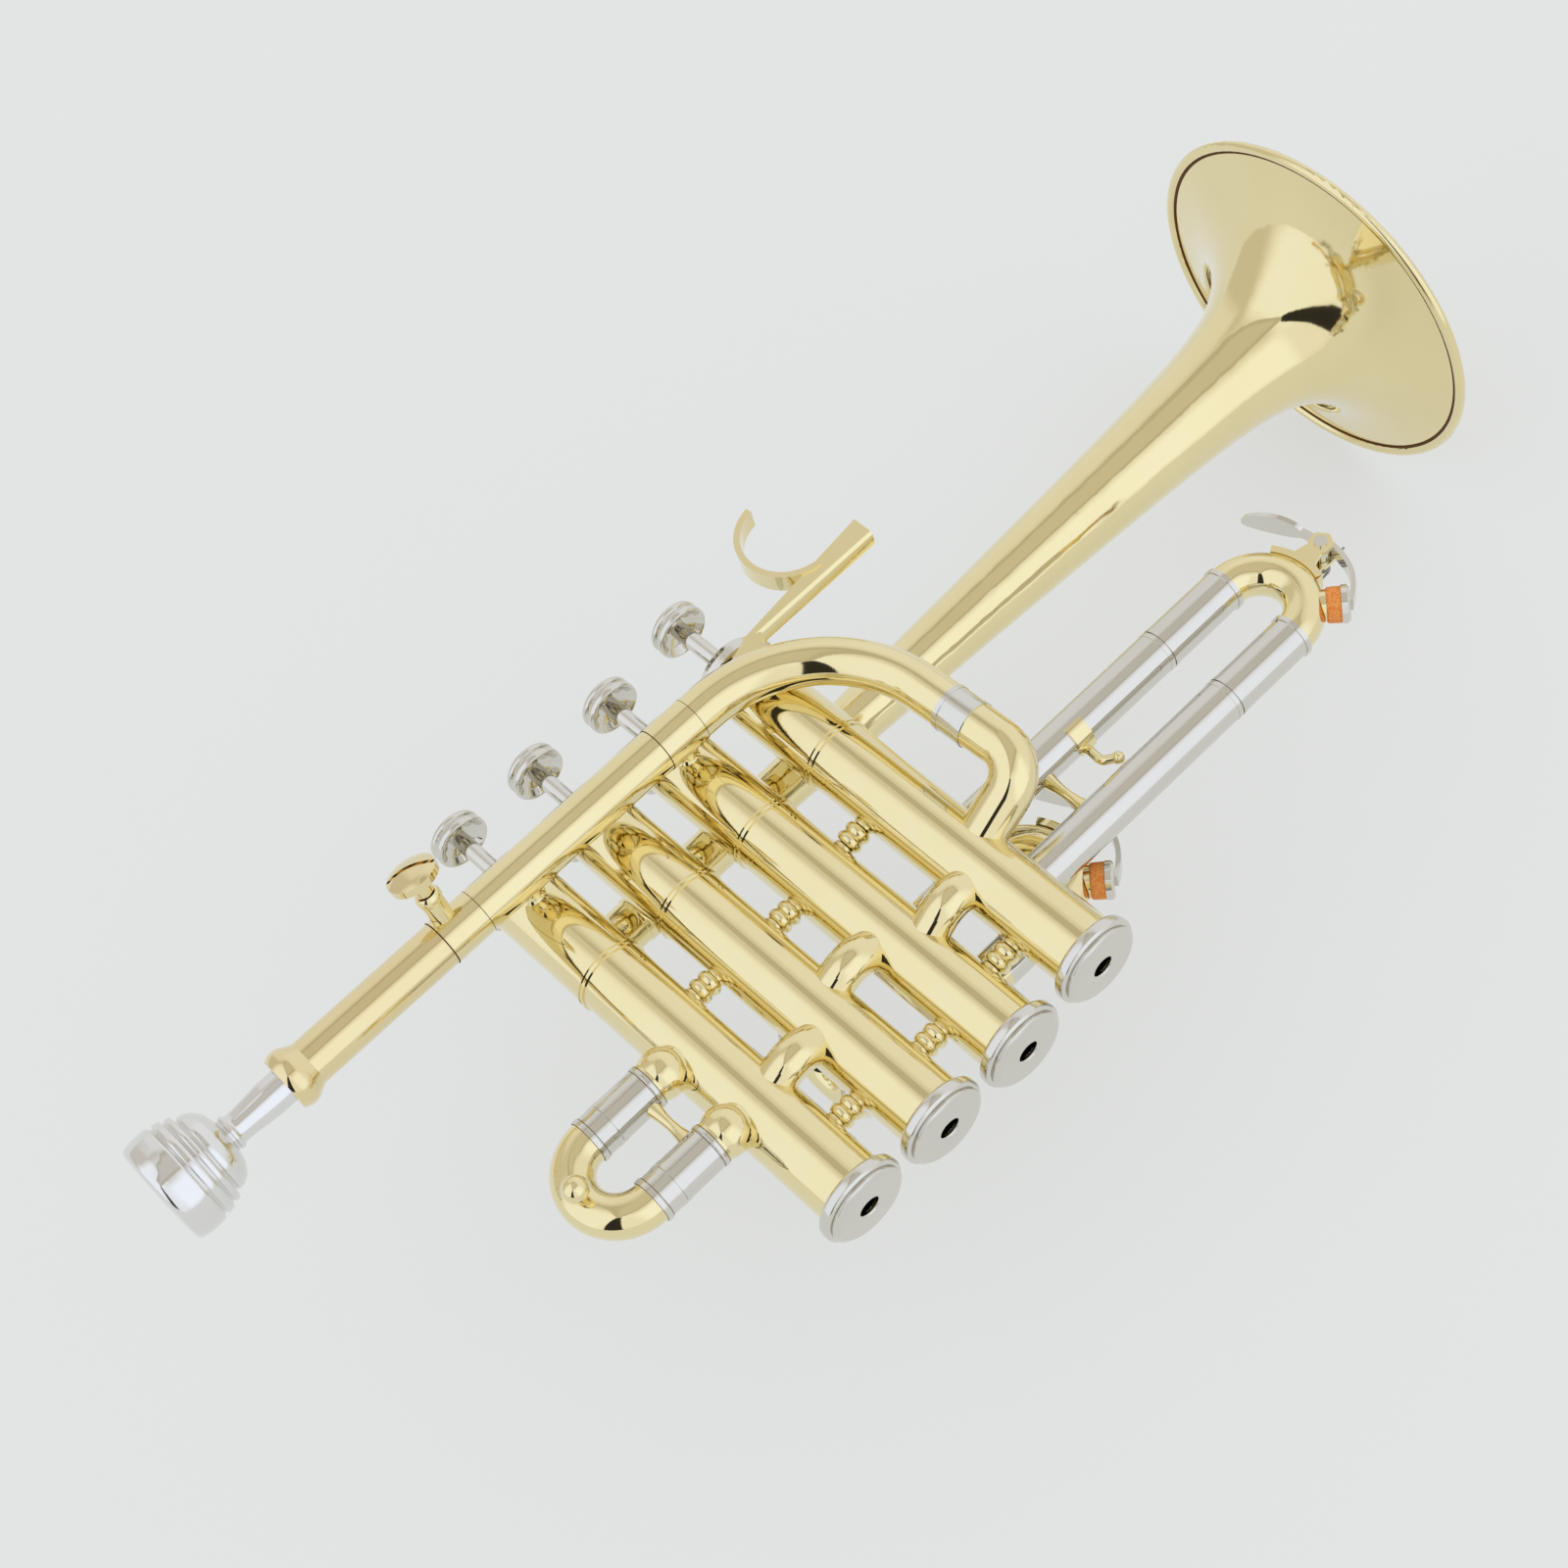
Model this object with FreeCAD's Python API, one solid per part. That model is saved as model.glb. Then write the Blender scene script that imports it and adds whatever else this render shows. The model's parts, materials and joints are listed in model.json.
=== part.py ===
import FreeCAD
import Part
import math
import os

# Four-valve piccolo trumpet, lying on its left side.
# +X runs toward the bell, +Y toward the finger buttons, +Z toward the player's right, which is up.
# All sizes are in millimetres. The layout is worked out from the first valve's axis, and every
# finished piece is then moved so that the origin is the middle of the base of the whole horn's box.

# Valves: layout
VALVE_PITCH = 24.4
VALVE_COUNT = 4
FOURTH_VALVE_X = 73.0
FOURTH_VALVE_Z = 4.8
STROKE = 14.5

# Valves: heights along the axis from the bottom cap's face
CASING_FOOT = 1.4
BEAD_HEIGHT = 84.1
BEAD_WIDTH = 1.9
CASING_TOP = 119.4
TOP_CAP_RISE = 2.6
TOP_CAP_LAP = 2.8
TOP_CAP_SEAT = 1.4
TOP_CAP_TOP = CASING_TOP + TOP_CAP_RISE
TOP_CAP_SKIRT = CASING_TOP - TOP_CAP_LAP
TOP_CAP_DISC = CASING_TOP - TOP_CAP_SEAT
PISTON_FOOT = 23.5
PISTON_TOP = 84.0
BARREL_ROOM = 5.0
BARREL_TOP = TOP_CAP_DISC - BARREL_ROOM
BUTTON_ROOM = 1.7
BUTTON_BASE = TOP_CAP_TOP + STROKE + BUTTON_ROOM
BUTTON_HEIGHT = 5.4
BUTTON_TOP = BUTTON_BASE + BUTTON_HEIGHT
GUIDE_THICK = 1.8

# Valves: radii
CASING_R = 9.0
CASING_TOP_R = 9.2
BEAD_R = 9.45
BEAD_GROOVE = 0.35
THREAD_R = 8.5
BORE_R = 7.7
UPPER_BORE_R = 8.2
PISTON_CLEARANCE = 0.07
BARREL_R = 6.9
BARREL_WALL = 0.6
SLOT_WIDTH = 2.6
SLOT_MARGIN = 1.2
GUIDE_WIDTH = 2.0
SPRING_R = 5.3
SPRING_WIRE_R = 0.35
SPRING_TURNS = 9
ARCS_PER_TURN = 4
STEM_R = 2.2
STEM_CLEARANCE = 0.3
PORT_R = 3.6
CORE_R = 2.6
PORT_WALL = 1.2
CAP_FLANGE_R = 11.2
CAP_BODY_R = 10.0
CAP_FACE_R = 9.3
CAP_HEIGHT = 5.2
CAP_FLANGE_HEIGHT = 2.0
CAP_FLOOR = 1.2
CAP_STEP = 0.6
CAP_HOLE_R = 2.65
TOP_CAP_R = 11.0
TOP_CAP_SKIRT_R = 9.8
TOP_CAP_LIP = 1.3
TOP_CAP_CROWN_R = 9.4
THREAD_CLEARANCE = 0.04
BUTTON_R = 7.2
BUTTON_GROOVE = 0.5
BUTTON_RIM = 1.5
BUTTON_BOSS_R = 3.4
BUTTON_DISH = 3.0

# Pipes
PIPE_R = 5.7
PIPE_WALL = 0.55
SLIDE_R = 5.4
SLIDE_WALL = 0.5
SLIDE_CLEARANCE = 0.06
BOW_R = 5.2
SLIDE_SPACING = 20.9
SEAM_GAP = 0.3
RING_PROUD = 0.35
LINE_PROUD = 0.12
RING_WIDTH = 1.2

# Leadpipe and crook
LEADPIPE_Y = 109.2
LEADPIPE_Z = 19.5
RECEIVER_X = -68.2
LEADPIPE_END_X = -24.2
COLLAR_END_X = -13.3
INNER_PIPE_END_X = 12.0
FERRULE_X = 42.3
FERRULE_LENGTH = 10.8
FERRULE_PROUD = 0.12
CROOK_RADIUS = 36.5
CROOK_LEAD = 2.6
CROOK_CORNER_X = FERRULE_X + FERRULE_LENGTH + CROOK_LEAD + CROOK_RADIUS
CROOK_LIMB = 6.9
CROOK_FERRULE_TOP = LEADPIPE_Y - CROOK_RADIUS - CROOK_LIMB
CROOK_FERRULE_LENGTH = 8.2
ELBOW_LEAN = 2.4
ELBOW_X = CROOK_CORNER_X + ELBOW_LEAN
ELBOW_DROP = 15.6
ELBOW_Y = CROOK_FERRULE_TOP - CROOK_FERRULE_LENGTH - ELBOW_DROP
ELBOW_RADIUS = 8.2
RECEIVER_BORE_R = 4.45
RECEIVER_RING_R = 7.5
RECEIVER_RING_HALF = 2.7
RECEIVER_STEP = 0.9

# Clamp screw
SCREW_X = -20.4
SCREW_TURN_DEG = 66.0
SCREW_BOSS_R = 2.8
SCREW_BOSS_BEAD_R = 3.2
SCREW_BOSS_TOP = 13.0
SCREW_SHANK_R = 1.5
SCREW_NECK_R = 2.3
SCREW_HEAD_R = 6.2
SCREW_HEAD_BASE = 17.6
SCREW_HEAD_THICK = 1.8
SCREW_HEAD_DOME = 1.7
SCREW_SLOT = 1.1
SCREW_SLOT_TURN_DEG = -27.5

# Mouthpiece, distances along its axis from the rim's face
MOUTHPIECE_REACH = 38.2
RIM_FACE_X = RECEIVER_X - MOUTHPIECE_REACH
RIM_R = 13.3
RIM_LENGTH = 8.2
CUP_STEP_R = 12.3
CUP_STEP_END = 10.8
CUP_BAND_R = 11.3
CUP_BAND_END = 12.9
CUP_END = 19.0
THROAT_R = 3.6
THROAT_END = 20.6
SHANK_MOUTH_R = 4.4
SHANK_END = 57.0
SHANK_END_R = 4.38
CUP_MOUTH_R = 8.0
CUP_DEPTH = 10.5
CUP_BOTTOM_R = 2.4
BACKBORE_R = 3.4
RIM_CHAMFER = 1.0
CUP_FOOT_R = 4.5
CUP_BULGE_R = 9.7
SHANK_START = 30.9
CUP_WAIST_R = 6.4
CUP_WAIST_DEPTH = 6.3
BORE_START = 15.8

# Bell
BELL_Y = 101.1
BELL_Z = -17.0
BELL_END_X = 257.0
BELL_RIM_R = 49.5
BELL_WALL = 0.6
RIM_BEAD_R = 1.3
STEM_START_X = 26.0
BELL_FLARE = (
    (60.0, 6.1), (90.0, 6.9), (120.0, 7.9), (150.0, 9.3), (180.0, 10.8), (205.0, 12.4),
    (222.0, 14.3), (233.0, 17.0), (241.0, 21.4), (247.5, 28.0), (252.0, 36.0),
)
BELL_TAIL_R = 5.9
BELL_BOW_X = 0.6
BELL_BOW_RADIUS = 12.5
BELL_PORT_Y = 62.0
BELL_PORT_RADIUS = 6.0
BELL_FERRULE_LENGTH = 9.0

# Slides
SLIDE_1_Y = 44.5
SLIDE_1_Z = 5.2
SLIDE_1_START = -13.6
SLIDE_1_SLEEVE = 12.4
SLIDE_1_FERRULE = 5.9
SLIDE_1_SEAM = SLIDE_1_START - SLIDE_1_SLEEVE
SLIDE_1_END = SLIDE_1_SEAM - SLIDE_1_FERRULE
SLIDE_ELBOW_RADIUS = 5.6
BALL_ELBOW_R = 6.1
BALL_ELBOW_X = -9.9
KNOB_R = 3.2
KNOB_NECK_SHARE = 0.5
KNOB_SINK = 1.2
SLIDE_2_Y = 42.0
SLIDE_2_SEAM = -18.5
SLIDE_2_FERRULE = 5.5
SLIDE_2_END = SLIDE_2_SEAM - SLIDE_2_FERRULE
SLIDE_3_Y = 35.1
SLIDE_3_Z = -10.8
SLIDE_3_START = 62.4
SLIDE_3_SLEEVE = 12.2
SLIDE_3_FERRULE = 6.8
SLIDE_3_SEAM = SLIDE_3_START + SLIDE_3_SLEEVE
SLIDE_3_END = SLIDE_3_SEAM + SLIDE_3_FERRULE
SLIDE_4_Y = 39.2
SLIDE_4_Z = 0.0
SLIDE_4_SEAM = 143.9
SLIDE_4_FERRULE = 23.1
SLIDE_4_END = SLIDE_4_SEAM + SLIDE_4_FERRULE
SLIDE_4_INNER = 46.0
SLIDE_1_INNER = 10.0
SLIDE_2_INNER = 7.0
SLIDE_3_INNER = 9.0
SLIDE_1_STAY_X = -17.0
SLIDE_4_BRACE_X = 101.5

# Which way each slide points, and what its bow carries
SLIDE_SIDES = ("left", "down", "right", "right")
BOW_FITTINGS = ("knob", "", "water key", "water key")
DOWNWARD_SLIDE = SLIDE_SIDES.index("down")
SLIDE_Y = (SLIDE_1_Y, SLIDE_2_Y, SLIDE_3_Y, SLIDE_4_Y)
SLIDE_Z = (SLIDE_1_Z, 0.0, SLIDE_3_Z, SLIDE_4_Z)
SLIDE_SPANS = (
    (SLIDE_1_SEAM, SLIDE_1_END),
    (SLIDE_2_SEAM, SLIDE_2_END),
    (SLIDE_3_SEAM, SLIDE_3_END),
    (SLIDE_4_SEAM, SLIDE_4_END),
)
KEYED_SLIDES = [index for index in range(VALVE_COUNT) if BOW_FITTINGS[index] == "water key"]
SLIDE_INNERS = (SLIDE_1_INNER, SLIDE_2_INNER, SLIDE_3_INNER, SLIDE_4_INNER)

# Knuckles and small posts between the valves
KNUCKLE_Y = (35.4, 42.6, 35.7)
KNUCKLE_REACH = 7.0
KNUCKLE_RADIUS = 6.5
KNUCKLE_R = 4.9
POST_Y_UPPER = (66.2, 65.5, 67.1)
POST_Y_LOWER = (20.0, 18.4, 19.7)
POST_R = 2.1
POST_BEAD_R = 3.6
POST_BEAD_HALF = 1.1
STAY_R = 1.8
STAY_FOOT_R = 3.2
SLIDE_STAY_R = 1.3
SLIDE_STAY_FOOT_R = 2.2
CASING_STAYS = ("to leadpipe", "", "to leadpipe and bell", "to bell")
LEAD_STAY_VALVES = [index for index in range(VALVE_COUNT) if "leadpipe" in CASING_STAYS[index]]
BELL_STAY_VALVES = [index for index in range(VALVE_COUNT) if "bell" in CASING_STAYS[index]]

# Water keys, measured from the centre of the slide's bow
KEY_NIPPLE_DEG = -45.0
KEY_NIPPLE_R = 3.8
KEY_NIPPLE_BORE = 1.5
KEY_NIPPLE_REACH = 16.9
CORK_R = 4.0
CORK_THICK = 3.4
CORK_GAP = 0.05
CUP_WALL = 0.6
CUP_SKIRT = 1.4
PIVOT_X = 22.0
PIVOT_Y = 0.2
PIVOT_R = 1.9
PIN_R = 0.8
PIN_CLEARANCE = 0.05
SCREW_CAP_R = 1.6
SCREW_CAP_THICK = 0.7
SCREW_TAIL = 1.2
EAR_THICK = 1.2
EAR_R = 3.2
EAR_SIDES = 6
EAR_GAP = 0.15
EAR_FOOT_HALF = 3.4
LEVER_WIDTH = 4.2
LEVER_THICK = 1.2
KEY_ARM_LINE = ((23.2, 2.6), (24.1, -0.4), (23.5, -4.6), (21.7, -9.0), (18.6, -12.6), (14.6, -15.2))
KEY_PADDLE_LINE = ((23.5, 2.0), (23.3, 6.0), (20.9, 14.3), (17.3, 20.9))
PADDLE_WIDTH = 6.4
PADDLE_NECK = 2.6
SPOON_FROM_Y = 6.5
SADDLE_THICK = 0.9
SADDLE_WIDTH = 6.9
SADDLE_FROM_DEG = -22.0
SADDLE_TO_DEG = 31.0
KEY_SPRING_R = 1.75
KEY_SPRING_WIRE = 0.3
KEY_SPRING_TURNS = 3
KEY_SPRING_PITCH = 1.15
KEY_SPRING_LEG = 6.0
KEY_SPRING_CATCH = 4.6

# Finger hook
HOOK_Z = 17.0
HOOK_BAR_Y = 114.7
HOOK_BAR_X = (77.0, 117.2)
HOOK_BAR_WIDTHS = (1.9, 6.2)
HOOK_BAR_HEIGHT = 4.4
HOOK_BAR_EDGE = 0.7
HOOK_STRIP_WIDTH = 5.4
HOOK_STRIP_THICK = 1.6
HOOK_CENTRE = (103.9, 130.4)
HOOK_RADIUS = 12.2
HOOK_FROM_DEG = 96.0
HOOK_TO_DEG = 265.0
HOOK_FOOT_LINE = ((77.0, 116.6), (80.5, 114.7), (71.0, 100.0), (66.0, 112.6))

# Rest on the fourth slide
REST_X = 111.5
REST_WIDTH = 4.8
REST_THICK = 0.8
REST_FROM_DEG = 12.0
REST_SPAN_DEG = 84.0
REST_ARM_R = 1.2
REST_ARM = ((0.0, -4.8, -0.5), (-0.8, -10.6, 0.0), (2.2, -13.2, 0.5))
REST_BEND = 2.4
REST_BALL_R = 1.6

CUT_OVERRUN = 5.0
TOUCH = 1e-6
HALF_TURN = 180.0
FULL_TURN = 360.0
X_AXIS = FreeCAD.Vector(1, 0, 0)
Y_AXIS = FreeCAD.Vector(0, 1, 0)
Z_AXIS = FreeCAD.Vector(0, 0, 1)


def point(x, y, z):
    return FreeCAD.Vector(x, y, z)


def rod(start, end, radius):
    """A round bar between two points."""
    run = end - start
    return Part.makeCylinder(radius, run.Length, start, run)


def pipe(start, end, outer, inner):
    """A straight tube between two points."""
    return rod(start, end, outer).cut(rod(start, end, inner))


def fuse_all(solids):
    """One solid from several that meet."""
    return solids[0].multiFuse(solids[1:]).removeSplitter()


def turned(outline, base, axis):
    """A solid turned from (radius, height) points; a triple of points is an arc through its middle."""
    across = axis.cross(X_AXIS if abs(axis.x) < abs(axis.z) else Z_AXIS)
    across.normalize()

    def place(pair):
        return base + across * pair[0] + axis * pair[1]

    edges = []
    here = outline[0]
    for step in outline[1:] + [outline[0]]:
        if isinstance(step[0], tuple):
            edges.append(Part.Arc(place(here), place(step[0]), place(step[1])).toShape())
            here = step[1]
        elif math.dist(here, step) > TOUCH:
            edges.append(Part.LineSegment(place(here), place(step)).toShape())
            here = step
    face = Part.Face(Part.Wire(edges))
    return face.revolve(base, axis, FULL_TURN)


def route(points, radii):
    """Straight runs and tangent arcs through points, with one radius for each inner point."""
    pieces = []
    start = points[0]
    for corner, after, radius in zip(points[1:-1], points[2:], radii):
        came = (corner - start).normalize()
        goes = (after - corner).normalize()
        turn = came.getAngle(goes)
        reach = radius * math.tan(turn / 2)
        bend_start = corner - came * reach
        bend_end = corner + goes * reach
        if (bend_start - start).Length > TOUCH:
            pieces.append(("run", start, bend_start))
        hinge_axis = came.cross(goes).normalize()
        centre = bend_start + hinge_axis.cross(came) * radius
        pieces.append(("bend", bend_start, came, centre, hinge_axis, math.degrees(turn)))
        start = bend_end
    pieces.append(("run", start, points[-1]))
    return pieces


def dome(radius, edge, crown):
    """The arc from a dome's edge to its crown on the axis, as the middle and last points."""
    rise = crown - edge
    sphere = (radius * radius + rise * rise) / (2 * rise)
    half = math.asin(radius / abs(sphere)) / 2
    middle = (abs(sphere) * math.sin(half), crown - sphere * (1 - math.cos(half)))
    return (middle, (0, crown))


def bent_rod(points, radii, radius):
    """A round bar along straight runs and tangent arcs."""
    solids = []
    for piece in route(points, radii):
        if piece[0] == "run":
            solids.append(rod(piece[1], piece[2], radius))
        else:
            start, along, centre, axis, turn = piece[1:]
            disc = Part.Face(Part.Wire(Part.makeCircle(radius, start, along)))
            solids.append(disc.revolve(centre, axis, turn))
    return fuse_all(solids) if len(solids) > 1 else solids[0]


def bent_pipe(points, radii, outer, inner):
    """A bent tube, open at both ends."""
    return bent_rod(points, radii, outer).cut(bent_rod(points, radii, inner))


def valve_axis(index):
    """Where a valve's axis crosses the bottom caps' plane."""
    if index == VALVE_COUNT - 1:
        return point(FOURTH_VALVE_X, 0, FOURTH_VALVE_Z)
    return point(index * VALVE_PITCH, 0, 0)


def casing_core(index, radius):
    """A plain bar on a valve's axis, to trim what is soldered to the casing."""
    base = valve_axis(index)
    return Part.makeCylinder(radius, CASING_TOP, base, Y_AXIS)


def at_height(index, height):
    return valve_axis(index) + Y_AXIS * height


def casing_outline():
    """Lower casing, doubled bead and slightly wider upper casing."""
    bead_end = BEAD_HEIGHT + BEAD_WIDTH
    third = BEAD_WIDTH / 3
    return [
        (BORE_R, CASING_FOOT),
        (THREAD_R, CASING_FOOT),
        (THREAD_R, CAP_HEIGHT),
        (CASING_R, CAP_HEIGHT),
        (CASING_R, BEAD_HEIGHT),
        (BEAD_R, BEAD_HEIGHT),
        (BEAD_R, BEAD_HEIGHT + third),
        (BEAD_R - BEAD_GROOVE, BEAD_HEIGHT + third),
        (BEAD_R - BEAD_GROOVE, bead_end - third),
        (BEAD_R, bead_end - third),
        (BEAD_R, bead_end),
        (CASING_TOP_R, bead_end),
        (CASING_TOP_R, TOP_CAP_SKIRT),
        (THREAD_R + CAP_STEP / 2, TOP_CAP_SKIRT),
        (THREAD_R + CAP_STEP / 2, CASING_TOP),
        (UPPER_BORE_R, CASING_TOP),
        (UPPER_BORE_R, bead_end),
        (BORE_R, bead_end),
    ]


def port_directions(index):
    """Each opening in a casing's wall as (height, direction), with the way its tube leaves."""
    here = valve_axis(index)
    ports = [(height, slide_direction(index)) for height in leg_heights(SLIDE_Y[index])]
    if index == 0:
        ports.append((BELL_PORT_Y, Z_AXIS * -1))
    if index == VALVE_COUNT - 1:
        ports.append((ELBOW_Y, crook_end() - here))
    for gap, height in enumerate(KNUCKLE_Y):
        if index in (gap, gap + 1):
            ports.append((height, knuckle_peak(gap) - here))
    return ports


def slide_direction(index):
    """The way a slide's tubes leave their casing."""
    here = valve_axis(index)
    if index == 0:
        return point(BALL_ELBOW_X, 0, SLIDE_1_Z) - here
    if index == DOWNWARD_SLIDE:
        return Z_AXIS * -1
    if index == VALVE_COUNT - 1:
        return point(CASING_R, 0, SLIDE_4_Z - FOURTH_VALVE_Z)
    return point(SLIDE_3_START - SLIDE_ELBOW_RADIUS - CAP_STEP, 0, SLIDE_3_Z) - here


def leg_heights(middle):
    """The two legs of a slide, lower one first."""
    return (middle - SLIDE_SPACING / 2, middle + SLIDE_SPACING / 2)


def crook_end():
    """The lower end of the crook's limb, seen along the valves."""
    return point(ELBOW_X, 0, LEADPIPE_Z)


def knuckle_peak(gap):
    """The outermost point of the crossover between two valves, at height zero."""
    middle = (valve_axis(gap) + valve_axis(gap + 1)) / 2
    return middle + Z_AXIS * KNUCKLE_REACH


def valve_casing(index):
    """One casing, with an opening for each tube soldered to it."""
    casing = turned(casing_outline(), valve_axis(index), Y_AXIS)
    for height, direction in port_directions(index):
        flat = point(direction.x, 0, direction.z).normalize()
        start = at_height(index, height)
        casing = casing.cut(rod(start, start + flat * (CASING_R + CUT_OVERRUN), PORT_R))
    return casing


def bottom_cap(index):
    """Screwed cap with a stepped rim and an air hole."""
    outline = [
        (CAP_HOLE_R, 0),
        (CAP_FACE_R, 0),
        (CAP_BODY_R, CAP_STEP),
        (CAP_BODY_R, CAP_HEIGHT - CAP_FLANGE_HEIGHT - CAP_STEP),
        (CAP_FLANGE_R - CAP_STEP, CAP_HEIGHT - CAP_FLANGE_HEIGHT),
        (CAP_FLANGE_R, CAP_HEIGHT - CAP_FLANGE_HEIGHT + CAP_STEP),
        (CAP_FLANGE_R, CAP_HEIGHT - CAP_STEP / 2),
        (CAP_FLANGE_R - CAP_STEP / 2, CAP_HEIGHT),
        (THREAD_R + THREAD_CLEARANCE, CAP_HEIGHT),
        (THREAD_R + THREAD_CLEARANCE, CAP_FLOOR),
        (CAP_HOLE_R, CAP_FLOOR),
    ]
    return turned(outline, valve_axis(index), Y_AXIS)


def top_cap(index):
    """Screwed cap that the stem slides through."""
    hole = STEM_R + STEM_CLEARANCE
    thread = THREAD_R + CAP_STEP / 2 + THREAD_CLEARANCE
    rim = (TOP_CAP_DISC + TOP_CAP_TOP) / 2
    outline = [
        (hole, TOP_CAP_TOP - TOP_CAP_LIP),
        (hole, CASING_TOP + THREAD_CLEARANCE),
        (thread, CASING_TOP + THREAD_CLEARANCE),
        (thread, TOP_CAP_SKIRT),
        (TOP_CAP_SKIRT_R, TOP_CAP_SKIRT),
        (TOP_CAP_SKIRT_R, TOP_CAP_DISC - CAP_STEP),
        (TOP_CAP_R, TOP_CAP_DISC),
        (TOP_CAP_R, rim),
        (TOP_CAP_CROWN_R, TOP_CAP_TOP),
        (BUTTON_BOSS_R + CAP_STEP, TOP_CAP_TOP),
        (BUTTON_BOSS_R + CAP_STEP, TOP_CAP_TOP - TOP_CAP_LIP),
    ]
    return turned(outline, valve_axis(index), Y_AXIS)


def piston(index):
    """Piston with its slotted spring barrel, an open passage and the blind windows of the slide."""
    base = valve_axis(index)
    radius = BORE_R - PISTON_CLEARANCE
    body = rod(at_height(index, PISTON_FOOT), at_height(index, PISTON_TOP), radius)
    main, branch = piston_windows(index)
    low = min(height for height, direction in main)
    high = max(height for height, direction in main)
    body = body.cut(rod(at_height(index, low), at_height(index, high), CORE_R))
    for height, direction in main:
        start = at_height(index, height)
        body = body.cut(rod(start, start + direction * (radius + CUT_OVERRUN), PORT_R))
    for height, direction in branch:
        start = at_height(index, height) + direction * (CORE_R + PORT_WALL)
        body = body.cut(rod(start, start + direction * (radius + CUT_OVERRUN), PORT_R))
    top = at_height(index, BARREL_TOP)
    shell = pipe(at_height(index, PISTON_TOP), top, BARREL_R, BARREL_R - BARREL_WALL)
    lid = rod(top - Y_AXIS * GUIDE_THICK, top, BARREL_R)
    slot_height = GUIDE_THICK + STROKE + 2 * SLOT_MARGIN
    corner = base + point(-BARREL_R - CUT_OVERRUN, guide_height() - SLOT_MARGIN, -SLOT_WIDTH / 2)
    slot = Part.makeBox(2 * (BARREL_R + CUT_OVERRUN), slot_height, SLOT_WIDTH, corner)
    return fuse_all([body, shell.cut(slot), lid])


def piston_windows(index):
    """The two windows open at rest, and those that line up when the valve is pressed."""
    flats = []
    for height, direction in port_directions(index):
        flats.append((height, point(direction.x, 0, direction.z).normalize()))
    slides = [flat for flat in flats if flat[0] in leg_heights(SLIDE_Y[index])]
    main = [flat for flat in flats if flat not in slides]
    branch = [(height + STROKE, direction) for height, direction in main + slides]
    return main, branch


def guide_height():
    """The guide rests on the step above the bead."""
    return BEAD_HEIGHT + BEAD_WIDTH


def valve_guide(index):
    """A disc with two tabs that sit on the casing's step, through the barrel's slots."""
    base = at_height(index, guide_height())
    disc = Part.makeCylinder(BARREL_R - BARREL_WALL - STEM_CLEARANCE, GUIDE_THICK, base, Y_AXIS)
    corner = base + point(-CASING_R, 0, -GUIDE_WIDTH / 2)
    bar = Part.makeBox(2 * CASING_R, GUIDE_THICK, GUIDE_WIDTH, corner)
    reach = Part.makeCylinder(UPPER_BORE_R - THREAD_CLEARANCE, GUIDE_THICK, base, Y_AXIS)
    guide = disc.fuse(bar.common(reach)).removeSplitter()
    return guide.cut(Part.makeCylinder(STEM_R, GUIDE_THICK, base, Y_AXIS))


def stem(index):
    """The stem from the barrel's lid up into the button."""
    return rod(at_height(index, BARREL_TOP), at_height(index, BUTTON_BASE + BUTTON_DISH), STEM_R)


def finger_button(index):
    """A dished disc with a grooved rim, hollow beneath around its boss."""
    middle = (BUTTON_BASE + BUTTON_TOP) / 2
    crown = BUTTON_TOP - BUTTON_GROOVE
    outline = [
        (0, BUTTON_BASE + BUTTON_DISH),
        (STEM_R, BUTTON_BASE + BUTTON_DISH),
        (STEM_R, BUTTON_BASE),
        (BUTTON_BOSS_R, BUTTON_BASE),
        (BUTTON_BOSS_R, BUTTON_BASE + BUTTON_DISH),
        (BUTTON_R - BUTTON_RIM, BUTTON_BASE + BUTTON_DISH),
        (BUTTON_R - BUTTON_RIM, BUTTON_BASE),
        (BUTTON_R - BUTTON_GROOVE, BUTTON_BASE),
        (BUTTON_R, BUTTON_BASE + BUTTON_GROOVE),
        (BUTTON_R, middle - BUTTON_GROOVE),
        (BUTTON_R - BUTTON_GROOVE, middle),
        (BUTTON_R, middle + BUTTON_GROOVE),
        (BUTTON_R, crown - BUTTON_GROOVE),
        (BUTTON_R - 2 * BUTTON_GROOVE, BUTTON_TOP),
        (BUTTON_R - BUTTON_RIM, BUTTON_TOP),
        dome(BUTTON_R - BUTTON_RIM, BUTTON_TOP, crown - BUTTON_GROOVE),
    ]
    return turned(outline, valve_axis(index), Y_AXIS)


def helix_arcs(base, axis, side, radius, length, turns):
    """The arcs, four to a turn, through points of a helix."""
    forward = axis.cross(side)
    count = turns * ARCS_PER_TURN

    def on_helix(share):
        angle = 2 * math.pi * turns * share
        out = side * math.cos(angle) + forward * math.sin(angle)
        return base + out * radius + axis * (length * share)

    edges = []
    for step in range(count):
        ends = (step / count, (step + 1) / count)
        middle = (ends[0] + ends[1]) / 2
        edges.append(Part.Arc(on_helix(ends[0]), on_helix(middle), on_helix(ends[1])).toShape())
    return edges


def wire_tube(edges, start, direction, wire):
    """One unbroken round wire along joined edges."""
    section = Part.Wire(Part.makeCircle(wire, start, direction))
    return Part.Wire(edges).makePipeShell([section], True, False)


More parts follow.
